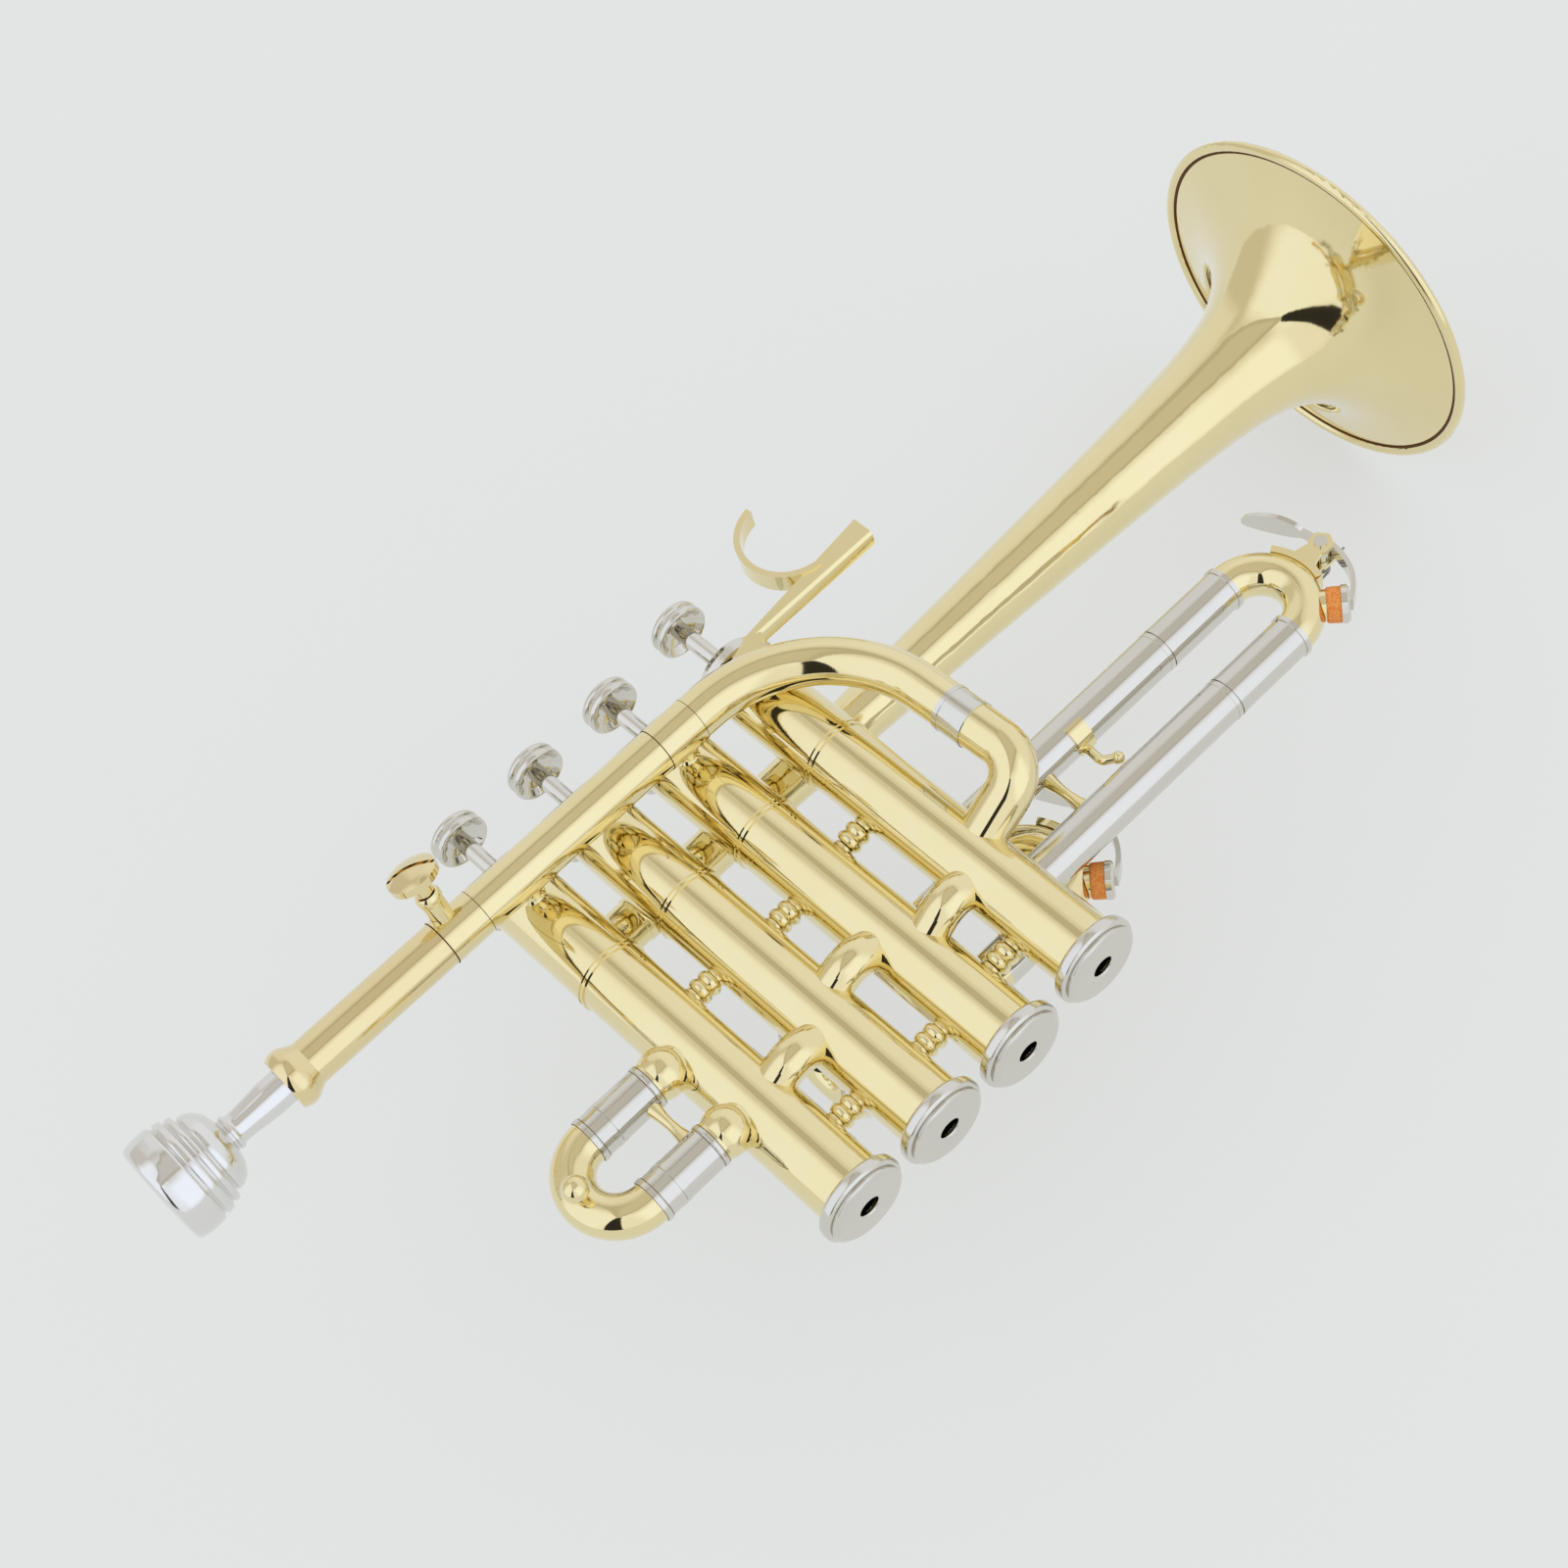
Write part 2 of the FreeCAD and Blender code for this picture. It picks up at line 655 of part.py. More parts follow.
def valve_spring(index):
    """The return spring, standing on the guide inside the barrel."""
    foot = guide_height() + GUIDE_THICK + SPRING_WIRE_R + THREAD_CLEARANCE
    head = BARREL_TOP - GUIDE_THICK - SPRING_WIRE_R - THREAD_CLEARANCE
    edges = helix_arcs(at_height(index, foot), Y_AXIS, X_AXIS, SPRING_R, head - foot, SPRING_TURNS)
    start = edges[0].valueAt(edges[0].FirstParameter)
    return wire_tube(edges, start, edges[0].tangentAt(edges[0].FirstParameter), SPRING_WIRE_R)


def knuckle(gap):
    """The short crossover that bulges out between two neighbouring casings."""
    rise = Y_AXIS * KNUCKLE_Y[gap]
    left = valve_axis(gap) + rise
    right = valve_axis(gap + 1) + rise
    peak = knuckle_peak(gap) + rise
    tube = bent_pipe([left, peak, right], [KNUCKLE_RADIUS], KNUCKLE_R, KNUCKLE_R - PIPE_WALL)
    tube = tube.cut(casing_core(gap, CASING_R)).cut(casing_core(gap + 1, CASING_R))
    return max(tube.Solids, key=lambda solid: solid.Volume)


def valve_post(gap, height):
    """A turned post with two beads, between two neighbouring casings."""
    start = at_height(gap, height)
    end = at_height(gap + 1, height)
    along = (end - start).normalize()
    span = (end - start).Length
    middle = span / 2
    outline = [(0, 0), (POST_R, 0)]
    for side in (-1, 1):
        centre = middle + side * POST_BEAD_HALF
        outline.append((POST_R, centre - POST_BEAD_HALF))
        outline.append(((POST_BEAD_R, centre), (POST_R, centre + POST_BEAD_HALF)))
    outline.append((POST_R, span))
    outline.append((0, span))
    post = turned(drop_repeats(outline), start, along)
    return post.cut(casing_core(gap, CASING_R)).cut(casing_core(gap + 1, CASING_R)).Solids[0]


def drop_repeats(outline):
    """The outline without a point that repeats the one before it."""
    kept = [outline[0]]
    for step in outline[1:]:
        last = kept[-1][1] if isinstance(kept[-1][0], tuple) else kept[-1]
        if isinstance(step[0], tuple) or math.dist(step, last) > TOUCH:
            kept.append(step)
    return kept


def lead_point(x, out=0.0, turn_deg=0.0):
    """A point beside the leadpipe's axis; the turn goes from +Y toward +Z."""
    turn = math.radians(turn_deg)
    return point(x, LEADPIPE_Y + out * math.cos(turn), LEADPIPE_Z + out * math.sin(turn))


def leadpipe():
    """The removable leadpipe: the visible tube, and the thinner end that slides into the fixed pipe."""
    outer = pipe(lead_point(RECEIVER_X), lead_point(LEADPIPE_END_X), PIPE_R, RECEIVER_BORE_R)
    inner_r = PIPE_R - PIPE_WALL - SLIDE_CLEARANCE
    inner = pipe(lead_point(LEADPIPE_END_X), lead_point(INNER_PIPE_END_X), inner_r, RECEIVER_BORE_R)
    return fuse_all([outer, inner])


def receiver_ring():
    """The rounded collar at the mouth of the receiver."""
    start = -RECEIVER_RING_HALF
    end = RECEIVER_RING_HALF
    fillet = 2 * RECEIVER_STEP
    shoulder = (PIPE_R + RECEIVER_RING_R) / 2
    outline = [
        (RECEIVER_BORE_R, start),
        (shoulder, start),
        ((RECEIVER_RING_R, 0), (shoulder, end)),
        (PIPE_R + RECEIVER_STEP / 2, end + RECEIVER_STEP),
        (PIPE_R, end + fillet),
        (PIPE_R, 0),
        (RECEIVER_BORE_R, 0),
    ]
    return turned(outline, lead_point(RECEIVER_X), X_AXIS)


def collar_reach(out):
    return lead_point(SCREW_X, out, SCREW_TURN_DEG)


def screw_direction():
    return (collar_reach(PIPE_R) - collar_reach(0)).normalize()


def clamp_collar():
    """The clamp's collar, split along its length, with the boss that the thumb screw turns in."""
    start = LEADPIPE_END_X + SEAM_GAP
    band = rod(lead_point(start), lead_point(COLLAR_END_X), PIPE_R + LINE_PROUD)
    outline = [
        (0, 0),
        (SCREW_BOSS_R, 0),
        (SCREW_BOSS_R, SCREW_BOSS_TOP - SCREW_BOSS_R),
        ((SCREW_BOSS_BEAD_R, SCREW_BOSS_TOP - SCREW_BOSS_R / 2), (SCREW_BOSS_R, SCREW_BOSS_TOP)),
        (0, SCREW_BOSS_TOP),
    ]
    boss = turned(outline, collar_reach(0), screw_direction())
    collar = band.fuse(boss).removeSplitter()
    bore = rod(lead_point(start), lead_point(COLLAR_END_X), PIPE_R - PIPE_WALL)
    hole = rod(collar_reach(0), collar_reach(SCREW_BOSS_TOP + CUT_OVERRUN), SCREW_SHANK_R + THREAD_CLEARANCE)
    return collar.cut(bore).cut(hole)


def clamp_screw():
    """Thumb screw with a domed, slotted head."""
    inner = PIPE_R - PIPE_WALL + SEAM_GAP
    top = SCREW_HEAD_BASE + SCREW_HEAD_THICK
    outline = [
        (0, inner),
        (SCREW_SHANK_R, inner),
        (SCREW_SHANK_R, SCREW_BOSS_TOP + SEAM_GAP),
        (SCREW_NECK_R, SCREW_BOSS_TOP + SEAM_GAP),
        (SCREW_NECK_R, SCREW_HEAD_BASE - SCREW_HEAD_DOME),
        (SCREW_HEAD_R, SCREW_HEAD_BASE),
        (SCREW_HEAD_R, top),
        dome(SCREW_HEAD_R, top, top + SCREW_HEAD_DOME),
    ]
    direction = screw_direction()
    screw = turned(outline, collar_reach(0), direction)
    reach = SCREW_HEAD_R + CUT_OVERRUN
    slot = Part.makeBox(2 * reach, SCREW_SLOT, reach)
    slot.translate(point(-reach, -SCREW_SLOT / 2, top))
    turn = math.radians(SCREW_SLOT_TURN_DEG)
    across = X_AXIS * math.cos(turn) + direction.cross(X_AXIS) * math.sin(turn)
    frame = FreeCAD.Rotation(across, direction.cross(across), direction, "ZXY")
    slot.Placement = FreeCAD.Placement(collar_reach(0), frame).multiply(slot.Placement)
    return screw.cut(slot)


def leadpipe_body():
    """The fixed pipe that the leadpipe slides in."""
    start = lead_point(COLLAR_END_X)
    end = lead_point(FERRULE_X)
    return pipe(start, end, PIPE_R, PIPE_R - PIPE_WALL)


def ring_sleeve(start, end, radius):
    """A ferrule with a thin raised line at each end."""
    along = (end - start).normalize()
    body = pipe(start, end, radius, PIPE_R - PIPE_WALL)
    near = pipe(start, start + along * RING_WIDTH, radius + LINE_PROUD, radius)
    far = pipe(end - along * RING_WIDTH, end, radius + LINE_PROUD, radius)
    return fuse_all([body, near, far])


def pipe_ferrules():
    """The brass ferrules on the leadpipe and on the bell's tail."""
    lead = pipe(lead_point(FERRULE_X), lead_point(FERRULE_X + FERRULE_LENGTH), PIPE_R + FERRULE_PROUD,
                PIPE_R - PIPE_WALL)
    tail = pipe(bell_point(STEM_START_X - BELL_FERRULE_LENGTH), bell_point(STEM_START_X),
                BELL_TAIL_R + RING_PROUD, BELL_TAIL_R - PIPE_WALL)
    return Part.makeCompound([lead, tail])


def limb_point(y):
    """A point on the axis of the crook's straight limb, which leans slightly toward the bell."""
    share = (LEADPIPE_Y - y) / (LEADPIPE_Y - ELBOW_Y)
    return point(CROOK_CORNER_X + (ELBOW_X - CROOK_CORNER_X) * share, y, LEADPIPE_Z)


def crook_line():
    """The crook's axis: along the leadpipe, round the corner and down the limb."""
    return [lead_point(FERRULE_X + FERRULE_LENGTH), limb_point(LEADPIPE_Y), limb_point(CROOK_FERRULE_TOP)]


def crook():
    """The large quarter bend, which lies against the fourth casing."""
    tube = bent_pipe(crook_line(), [CROOK_RADIUS], PIPE_R, PIPE_R - PIPE_WALL)
    return tube.cut(casing_core(VALVE_COUNT - 1, CASING_TOP_R))


def crook_ferrule():
    """The nickel ferrule below the crook."""
    start = limb_point(CROOK_FERRULE_TOP)
    end = limb_point(CROOK_FERRULE_TOP - CROOK_FERRULE_LENGTH)
    return ring_sleeve(start, end, PIPE_R + LINE_PROUD)


def crook_elbow():
    """The tight elbow from the crook's ferrule into the fourth casing."""
    start = limb_point(CROOK_FERRULE_TOP - CROOK_FERRULE_LENGTH)
    end = at_height(VALVE_COUNT - 1, ELBOW_Y)
    tube = bent_pipe([start, limb_point(ELBOW_Y), end], [ELBOW_RADIUS], PIPE_R, PIPE_R - PIPE_WALL)
    return max(tube.cut(casing_core(VALVE_COUNT - 1, CASING_R)).Solids, key=lambda solid: solid.Volume)


def bell_point(x):
    return point(x, BELL_Y, BELL_Z)


def bell_profile():
    """(distance along the axis, outer radius) from the tail to the rim."""
    tail = (STEM_START_X, BELL_TAIL_R)
    rim = (BELL_END_X - RIM_BEAD_R, BELL_RIM_R - RIM_BEAD_R)
    return [tail] + list(BELL_FLARE) + [rim]


def bell_core():
    """The bell's outer form as a solid bar, to trim the stays that meet it."""
    outer = [bell_point(x) + Y_AXIS * radius for x, radius in bell_profile()]
    curve = Part.BSplineCurve()
    curve.interpolate(outer)
    foot = bell_point(outer[0].x)
    head = bell_point(outer[-1].x)
    edges = [
        curve.toShape(),
        Part.LineSegment(outer[-1], head).toShape(),
        Part.LineSegment(head, foot).toShape(),
        Part.LineSegment(foot, outer[0]).toShape(),
    ]
    return Part.Face(Part.Wire(edges)).revolve(foot, X_AXIS, FULL_TURN)


def bell():
    """The bell as one thin spun wall, with its rim rolled over a wire."""
    outer = [bell_point(x) + Y_AXIS * radius for x, radius in bell_profile()]
    curve = Part.BSplineCurve()
    curve.interpolate(outer)
    wall = curve.toShape()
    inner = []
    for x, radius in bell_profile():
        parameter = curve.parameter(bell_point(x) + Y_AXIS * radius)
        tangent = curve.tangent(parameter)[0]
        inward = Z_AXIS.cross(tangent) * -1
        inner.append(bell_point(x) + Y_AXIS * radius + inward * BELL_WALL)
    inner_curve = Part.BSplineCurve()
    inner_curve.interpolate(inner)
    closing = Part.LineSegment(inner[0], outer[0]).toShape()
    opening = Part.LineSegment(outer[-1], inner[-1]).toShape()
    face = Part.Face(Part.Wire([wall, opening, inner_curve.toShape(), closing]))
    shell = face.revolve(bell_point(0), X_AXIS, FULL_TURN)
    bead = Part.makeTorus(BELL_RIM_R - RIM_BEAD_R, RIM_BEAD_R, bell_point(BELL_END_X - RIM_BEAD_R), X_AXIS)
    return shell.fuse(bead)


def bell_bow():
    """The bell's tail: it turns down behind the first valve, then in through its left side."""
    start = bell_point(STEM_START_X - BELL_FERRULE_LENGTH)
    top = point(BELL_BOW_X, BELL_Y, BELL_Z)
    low = point(BELL_BOW_X, BELL_PORT_Y, BELL_Z)
    end = point(BELL_BOW_X, BELL_PORT_Y, 0)
    tube = bent_pipe([start, top, low, end], [BELL_BOW_RADIUS, BELL_PORT_RADIUS], BELL_TAIL_R,
                     BELL_TAIL_R - PIPE_WALL)
    return max(tube.cut(casing_core(0, CASING_R)).Solids, key=lambda solid: solid.Volume)


def stay(start, end, radius, foot, trims):
    """A short stay post, flared at both ends and trimmed to what it joins."""
    along = (end - start).normalize()
    span = (end - start).Length
    outline = [
        (0, 0),
        (foot, 0),
        ((radius, span / 2), (foot, span)),
        (0, span),
    ]
    post = turned(outline, start, along)
    for trim in trims:
        post = post.cut(trim)
    return max(post.Solids, key=lambda solid: solid.Volume)


def pipe_braces():
    """The stays of the leadpipe, the bell's tail, the first slide and the fourth slide."""
    stays = []
    lead_bar = rod(lead_point(COLLAR_END_X), lead_point(FERRULE_X + FERRULE_LENGTH), PIPE_R + FERRULE_PROUD)
    for index in LEAD_STAY_VALVES:
        start = at_height(index, LEADPIPE_Y) + Z_AXIS * (CASING_TOP_R - CAP_STEP)
        end = point(start.x, LEADPIPE_Y, LEADPIPE_Z - PIPE_R + CAP_STEP)
        stays.append(stay(start, end, STAY_R, STAY_FOOT_R, [casing_core(index, CASING_TOP_R), lead_bar]))
    bell_bar = bell_core()
    for index in BELL_STAY_VALVES:
        base = at_height(index, BELL_Y)
        start = base - Z_AXIS * (CASING_TOP_R - CAP_STEP)
        end = point(base.x, BELL_Y, BELL_Z + BELL_TAIL_R)
        stays.append(stay(start, end, STAY_R, STAY_FOOT_R, [casing_core(index, CASING_TOP_R), bell_bar]))
    for middle, x, z in ((SLIDE_1_Y, SLIDE_1_STAY_X, SLIDE_1_Z), (SLIDE_4_Y, SLIDE_4_BRACE_X, SLIDE_4_Z)):
        low, high = leg_heights(middle)
        low_end = point(x, low + SLIDE_R - CAP_STEP, z)
        high_end = point(x, high - SLIDE_R + CAP_STEP, z)
        legs = [rod(point(x - SLIDE_R, height, z), point(x + SLIDE_R, height, z), SLIDE_R)
                for height in (low, high)]
        stays.append(stay(low_end, high_end, SLIDE_STAY_R, SLIDE_STAY_FOOT_R, legs))
    return Part.makeCompound(stays)


def slide_sleeve(start, end):
    """A fixed outer slide tube with a raised line at its open end."""
    along = (end - start).normalize()
    tube = pipe(start, end, SLIDE_R, SLIDE_R - SLIDE_WALL)
    ring = pipe(end - along * RING_WIDTH, end, SLIDE_R + LINE_PROUD, SLIDE_R)
    return fuse_all([tube, ring])


def slide_sleeves():
    """All eight outer slide tubes, two for each valve."""
    sleeves = []
    for height in leg_heights(SLIDE_1_Y):
        sleeves.append(slide_sleeve(point(SLIDE_1_START, height, SLIDE_1_Z),
                                    point(SLIDE_1_SEAM, height, SLIDE_1_Z)))
    for height in leg_heights(SLIDE_2_Y):
        foot = at_height(DOWNWARD_SLIDE, height)
        sleeves.append(trimmed(slide_sleeve(foot, foot + Z_AXIS * SLIDE_2_SEAM), DOWNWARD_SLIDE))
    for height in leg_heights(SLIDE_3_Y):
        sleeves.append(slide_sleeve(point(SLIDE_3_START, height, SLIDE_3_Z),
                                    point(SLIDE_3_SEAM, height, SLIDE_3_Z)))
    for height in leg_heights(SLIDE_4_Y):
        tube = slide_sleeve(point(FOURTH_VALVE_X, height, SLIDE_4_Z), point(SLIDE_4_SEAM, height, SLIDE_4_Z))
        sleeves.append(trimmed(tube, VALVE_COUNT - 1))
    return Part.makeCompound(sleeves)


def trimmed(tube, index):
    """The part of a tube that lies outside a casing."""
    return max(tube.cut(casing_core(index, CASING_R)).Solids, key=lambda solid: solid.Volume)


def ball_elbow(height):
    """A cast elbow from the first casing's flank: a ball with a short neck to each tube."""
    start = point(SLIDE_1_START, height, SLIDE_1_Z)
    corner = point(BALL_ELBOW_X, height, SLIDE_1_Z)
    end = at_height(0, height)
    bore_r = SLIDE_R - SLIDE_WALL
    form = rod(start, corner, SLIDE_R).fuse(rod(corner, end, SLIDE_R))
    form = form.fuse(Part.makeSphere(BALL_ELBOW_R, corner))
    bore = rod(start - X_AXIS * SLIDE_R, corner, bore_r).fuse(rod(corner, end, bore_r))
    bore = bore.fuse(Part.makeSphere(SLIDE_R - LINE_PROUD, corner))
    return trimmed(form.cut(bore), 0)


def bent_elbow(height):
    """A tight bent elbow from the third casing's flank out to a leg of its slide."""
    start = point(SLIDE_3_START, height, SLIDE_3_Z)
    corner = start - X_AXIS * (SLIDE_ELBOW_RADIUS + CAP_STEP)
    line = [start, corner, at_height(2, height)]
    return trimmed(bent_pipe(line, [SLIDE_ELBOW_RADIUS], SLIDE_R, SLIDE_R - SLIDE_WALL), 2)


def slide_elbows():
    """The elbows of the first and third slides."""
    elbows = [ball_elbow(height) for height in leg_heights(SLIDE_1_Y)]
    elbows += [bent_elbow(height) for height in leg_heights(SLIDE_3_Y)]
    return Part.makeCompound(elbows)


def slide_leg(seam, end, inner_length, along):
    """One inner slide tube with the ferrule that closes against the sleeve."""
    inner_r = SLIDE_R - SLIDE_WALL - SLIDE_CLEARANCE
    near = seam + along * SEAM_GAP
    inner = pipe(seam - along * inner_length, end, inner_r, inner_r - SLIDE_WALL)
    ferrule = pipe(near, end, SLIDE_R, inner_r)
    first = pipe(near, near + along * RING_WIDTH, SLIDE_R + LINE_PROUD, SLIDE_R)
    last = pipe(end - along * RING_WIDTH, end, SLIDE_R + RING_PROUD, SLIDE_R)
    return fuse_all([inner, ferrule, first, last])


def slide_ends(index):
    """(seam, end) of each leg of one valve's slide, lower leg first."""
    seam, end = SLIDE_SPANS[index]
    ends = []
    for height in leg_heights(SLIDE_Y[index]):
        if index == DOWNWARD_SLIDE:
            foot = at_height(index, height)
            ends.append((foot + Z_AXIS * seam, foot + Z_AXIS * end))
        else:
            ends.append((point(seam, height, SLIDE_Z[index]), point(end, height, SLIDE_Z[index])))
    return ends


def slide_legs(index):
    """Both inner tubes of one slide."""
    legs = []
    for seam, end in slide_ends(index):
        legs.append(slide_leg(seam, end, SLIDE_INNERS[index], (end - seam).normalize()))
    return Part.makeCompound(legs)


def slide_bow(index):
    """The half-round bow that joins a slide's legs."""
    (low_seam, low), (high_seam, high) = slide_ends(index)
    along = (low - low_seam).normalize()
    centre = (low + high) / 2
    axis = along.cross(Y_AXIS)
    ring = Part.Face(Part.Wire(Part.makeCircle(BOW_R, low, along)))
    bore = Part.Face(Part.Wire(Part.makeCircle(BOW_R - PIPE_WALL, low, along)))
    return ring.revolve(centre, axis, HALF_TURN).cut(bore.revolve(centre, axis, HALF_TURN))


def bow_centre(index):
    (low_seam, low), (high_seam, high) = slide_ends(index)
    return (low + high) / 2


def first_slide_bow():
    """The first slide's bow and the ball knob soldered on its right side."""
    seat = bow_centre(0) + point(-SLIDE_SPACING / 2, 0, 0)
    centre = BOW_R + KNOB_R
    neck = KNOB_R * KNOB_NECK_SHARE
    start = -math.acos(neck / KNOB_R)
    middle = (start + math.pi / 2) / 2
    outline = [
        (0, BOW_R - KNOB_SINK),
        (neck, BOW_R - KNOB_SINK),
        (neck, centre + KNOB_R * math.sin(start)),
        ((KNOB_R * math.cos(middle), centre + KNOB_R * math.sin(middle)), (0, centre + KNOB_R)),
    ]
    knob = turned(outline, seat, Z_AXIS).cut(bow_bar(0))
    return Part.makeCompound([slide_bow(0), max(knob.Solids, key=lambda solid: solid.Volume)])


def bow_bar(index):
    """A slide's bow without its bore, to trim what is soldered to it."""
    (low_seam, low), (high_seam, high) = slide_ends(index)
    along = (low - low_seam).normalize()
    disc = Part.Face(Part.Wire(Part.makeCircle(BOW_R, low, along)))
    return disc.revolve((low + high) / 2, along.cross(Y_AXIS), HALF_TURN)


def key_point(index, x, y, z=0.0):
    return bow_centre(index) + point(x, y, z)


def key_polar(index, out, turn_deg, z=0.0):
    turn = math.radians(turn_deg)
    return key_point(index, out * math.cos(turn), out * math.sin(turn), z)


def keyed_bow(index):
    """A bow with the water key's nipple soldered over its drain hole."""
    centre = bow_centre(index)
    seat = key_polar(index, SLIDE_SPACING / 2, KEY_NIPPLE_DEG)
    tip = key_polar(index, KEY_NIPPLE_REACH, KEY_NIPPLE_DEG)
    bow = slide_bow(index)
    nipple = rod(seat, tip, KEY_NIPPLE_R).cut(bow_bar(index))
    nipple = max(nipple.Solids, key=lambda solid: solid.Volume)
    drain = rod(seat, tip, KEY_NIPPLE_BORE)
    return bow.fuse(nipple).cut(drain).removeSplitter()


def key_saddle(index):
    """The strip soldered round the bow, and the two six-sided ears that hold the key's screw."""
    inner = SLIDE_SPACING / 2 + BOW_R - SADDLE_THICK
    outer = SLIDE_SPACING / 2 + BOW_R + SADDLE_THICK
    half = SADDLE_WIDTH / 2
    face = ring_sector(index, inner, outer, SADDLE_FROM_DEG, SADDLE_TO_DEG, -half)
    pieces = [face.extrude(Z_AXIS * SADDLE_WIDTH)]
    pivot = key_point(index, PIVOT_X, PIVOT_Y)
    for side in (-1, 1):
        near = side * (LEVER_WIDTH / 2 + EAR_GAP)
        far = side * (LEVER_WIDTH / 2 + EAR_GAP + EAR_THICK)
        base_z = min(near, far)
        corners = []
        for corner in range(EAR_SIDES):
            turn = 2 * math.pi * corner / EAR_SIDES
            around = point(math.cos(turn), math.sin(turn), 0) * EAR_R
            corners.append(pivot + around + Z_AXIS * base_z)
        ear = Part.Face(Part.makePolygon(corners + [corners[0]])).extrude(Z_AXIS * EAR_THICK)
        foot = [
            key_point(index, PIVOT_X, PIVOT_Y + EAR_R / 2, base_z),
            key_point(index, PIVOT_X, PIVOT_Y - EAR_R / 2, base_z),
            key_point(index, inner, PIVOT_Y - EAR_FOOT_HALF, base_z),
            key_point(index, inner, PIVOT_Y + EAR_FOOT_HALF, base_z),
        ]
        web = Part.Face(Part.makePolygon(foot + [foot[0]])).extrude(Z_AXIS * EAR_THICK)
        pieces += [ear, web]
    saddle = fuse_all(pieces)
    hole = rod(pivot - Z_AXIS * SADDLE_WIDTH, pivot + Z_AXIS * SADDLE_WIDTH, PIN_R)
    return saddle.cut(hole).cut(bow_bar(index))


def ring_sector(index, inner, outer, from_deg, to_deg, z):
    """A flat sector of a ring about the bow's centre, at a height along Z."""
    middle = (from_deg + to_deg) / 2
    far = Part.Arc(key_polar(index, outer, from_deg, z), key_polar(index, outer, middle, z),
                   key_polar(index, outer, to_deg, z)).toShape()
    near = Part.Arc(key_polar(index, inner, to_deg, z), key_polar(index, inner, middle, z),
                    key_polar(index, inner, from_deg, z)).toShape()
    first = Part.LineSegment(key_polar(index, inner, from_deg, z), key_polar(index, outer, from_deg, z))
    last = Part.LineSegment(key_polar(index, outer, to_deg, z), key_polar(index, inner, to_deg, z))
    return Part.Face(Part.Wire([first.toShape(), far, last.toShape(), near]))


def key_screw(index):
    """The headed screw that the key turns on, long enough to carry the spring."""
    pivot = key_point(index, PIVOT_X, PIVOT_Y)
    half = LEVER_WIDTH / 2 + EAR_GAP + EAR_THICK
    end = half + spring_length() + SCREW_TAIL
    shaft = rod(pivot - Z_AXIS * end, pivot + Z_AXIS * half, PIN_R)
    head = rod(pivot + Z_AXIS * half, pivot + Z_AXIS * (half + SCREW_CAP_THICK), SCREW_CAP_R)
    return fuse_all([shaft, head])


def spring_length():
    return KEY_SPRING_TURNS * KEY_SPRING_PITCH


def ribbon(index, line, width, thick):
    """A flat strip of the given width along Z that follows points given from the bow's centre."""
    half = width / 2
    outer = []
    inner = []
    for spot, (x, y) in enumerate(line):
        before = line[max(spot - 1, 0)]
        after = line[min(spot + 1, len(line) - 1)]
        run = math.dist(before, after)
        nx = (after[1] - before[1]) / run
        ny = -(after[0] - before[0]) / run
        outer.append(key_point(index, x + nx * thick / 2, y + ny * thick / 2, -half))
        inner.append(key_point(index, x - nx * thick / 2, y - ny * thick / 2, -half))
    far_curve = Part.BSplineCurve()
    far_curve.interpolate(outer)
    near_curve = Part.BSplineCurve()
    near_curve.interpolate(inner[::-1])
    edges = [
        far_curve.toShape(),
        Part.LineSegment(outer[-1], inner[-1]).toShape(),
        near_curve.toShape(),
        Part.LineSegment(inner[0], outer[0]).toShape(),
    ]
    return Part.Face(Part.Wire(edges)).extrude(Z_AXIS * width)


def key_lever(index):
    """The lever: spoon-shaped paddle, hub, and a curved arm down to the cork's cup."""
    cup_mid = KEY_NIPPLE_REACH + CORK_GAP + CORK_THICK
    arm = ribbon(index, KEY_ARM_LINE, LEVER_WIDTH, LEVER_THICK)
    paddle = ribbon(index, KEY_PADDLE_LINE, PADDLE_WIDTH, LEVER_THICK).common(paddle_outline(index))
    pivot = key_point(index, PIVOT_X, PIVOT_Y)
    hub = rod(pivot - Z_AXIS * (LEVER_WIDTH / 2), pivot + Z_AXIS * (LEVER_WIDTH / 2), PIVOT_R)
    outward = (key_polar(index, cup_mid, KEY_NIPPLE_DEG) - bow_centre(index)).normalize()
    cup_base = key_polar(index, cup_mid - CUP_SKIRT, KEY_NIPPLE_DEG)
    cup_outline = [
        (CORK_R, 0),
        (CORK_R + CUP_WALL, 0),
        (CORK_R + CUP_WALL, CUP_SKIRT),
        (CORK_R, CUP_SKIRT + CUP_WALL),
        (0, CUP_SKIRT + CUP_WALL),
        (0, CUP_SKIRT),
        (CORK_R, CUP_SKIRT),
    ]
    cup = turned(cup_outline, cup_base, outward)
    lever = fuse_all([hub, arm, paddle, cup])
    cork_space = rod(key_polar(index, cup_mid - CORK_THICK, KEY_NIPPLE_DEG),
                     key_polar(index, cup_mid, KEY_NIPPLE_DEG), CORK_R)
    hole = rod(pivot - Z_AXIS * LEVER_WIDTH, pivot + Z_AXIS * LEVER_WIDTH, PIN_R + PIN_CLEARANCE)
    return lever.cut(hole).cut(cork_space)


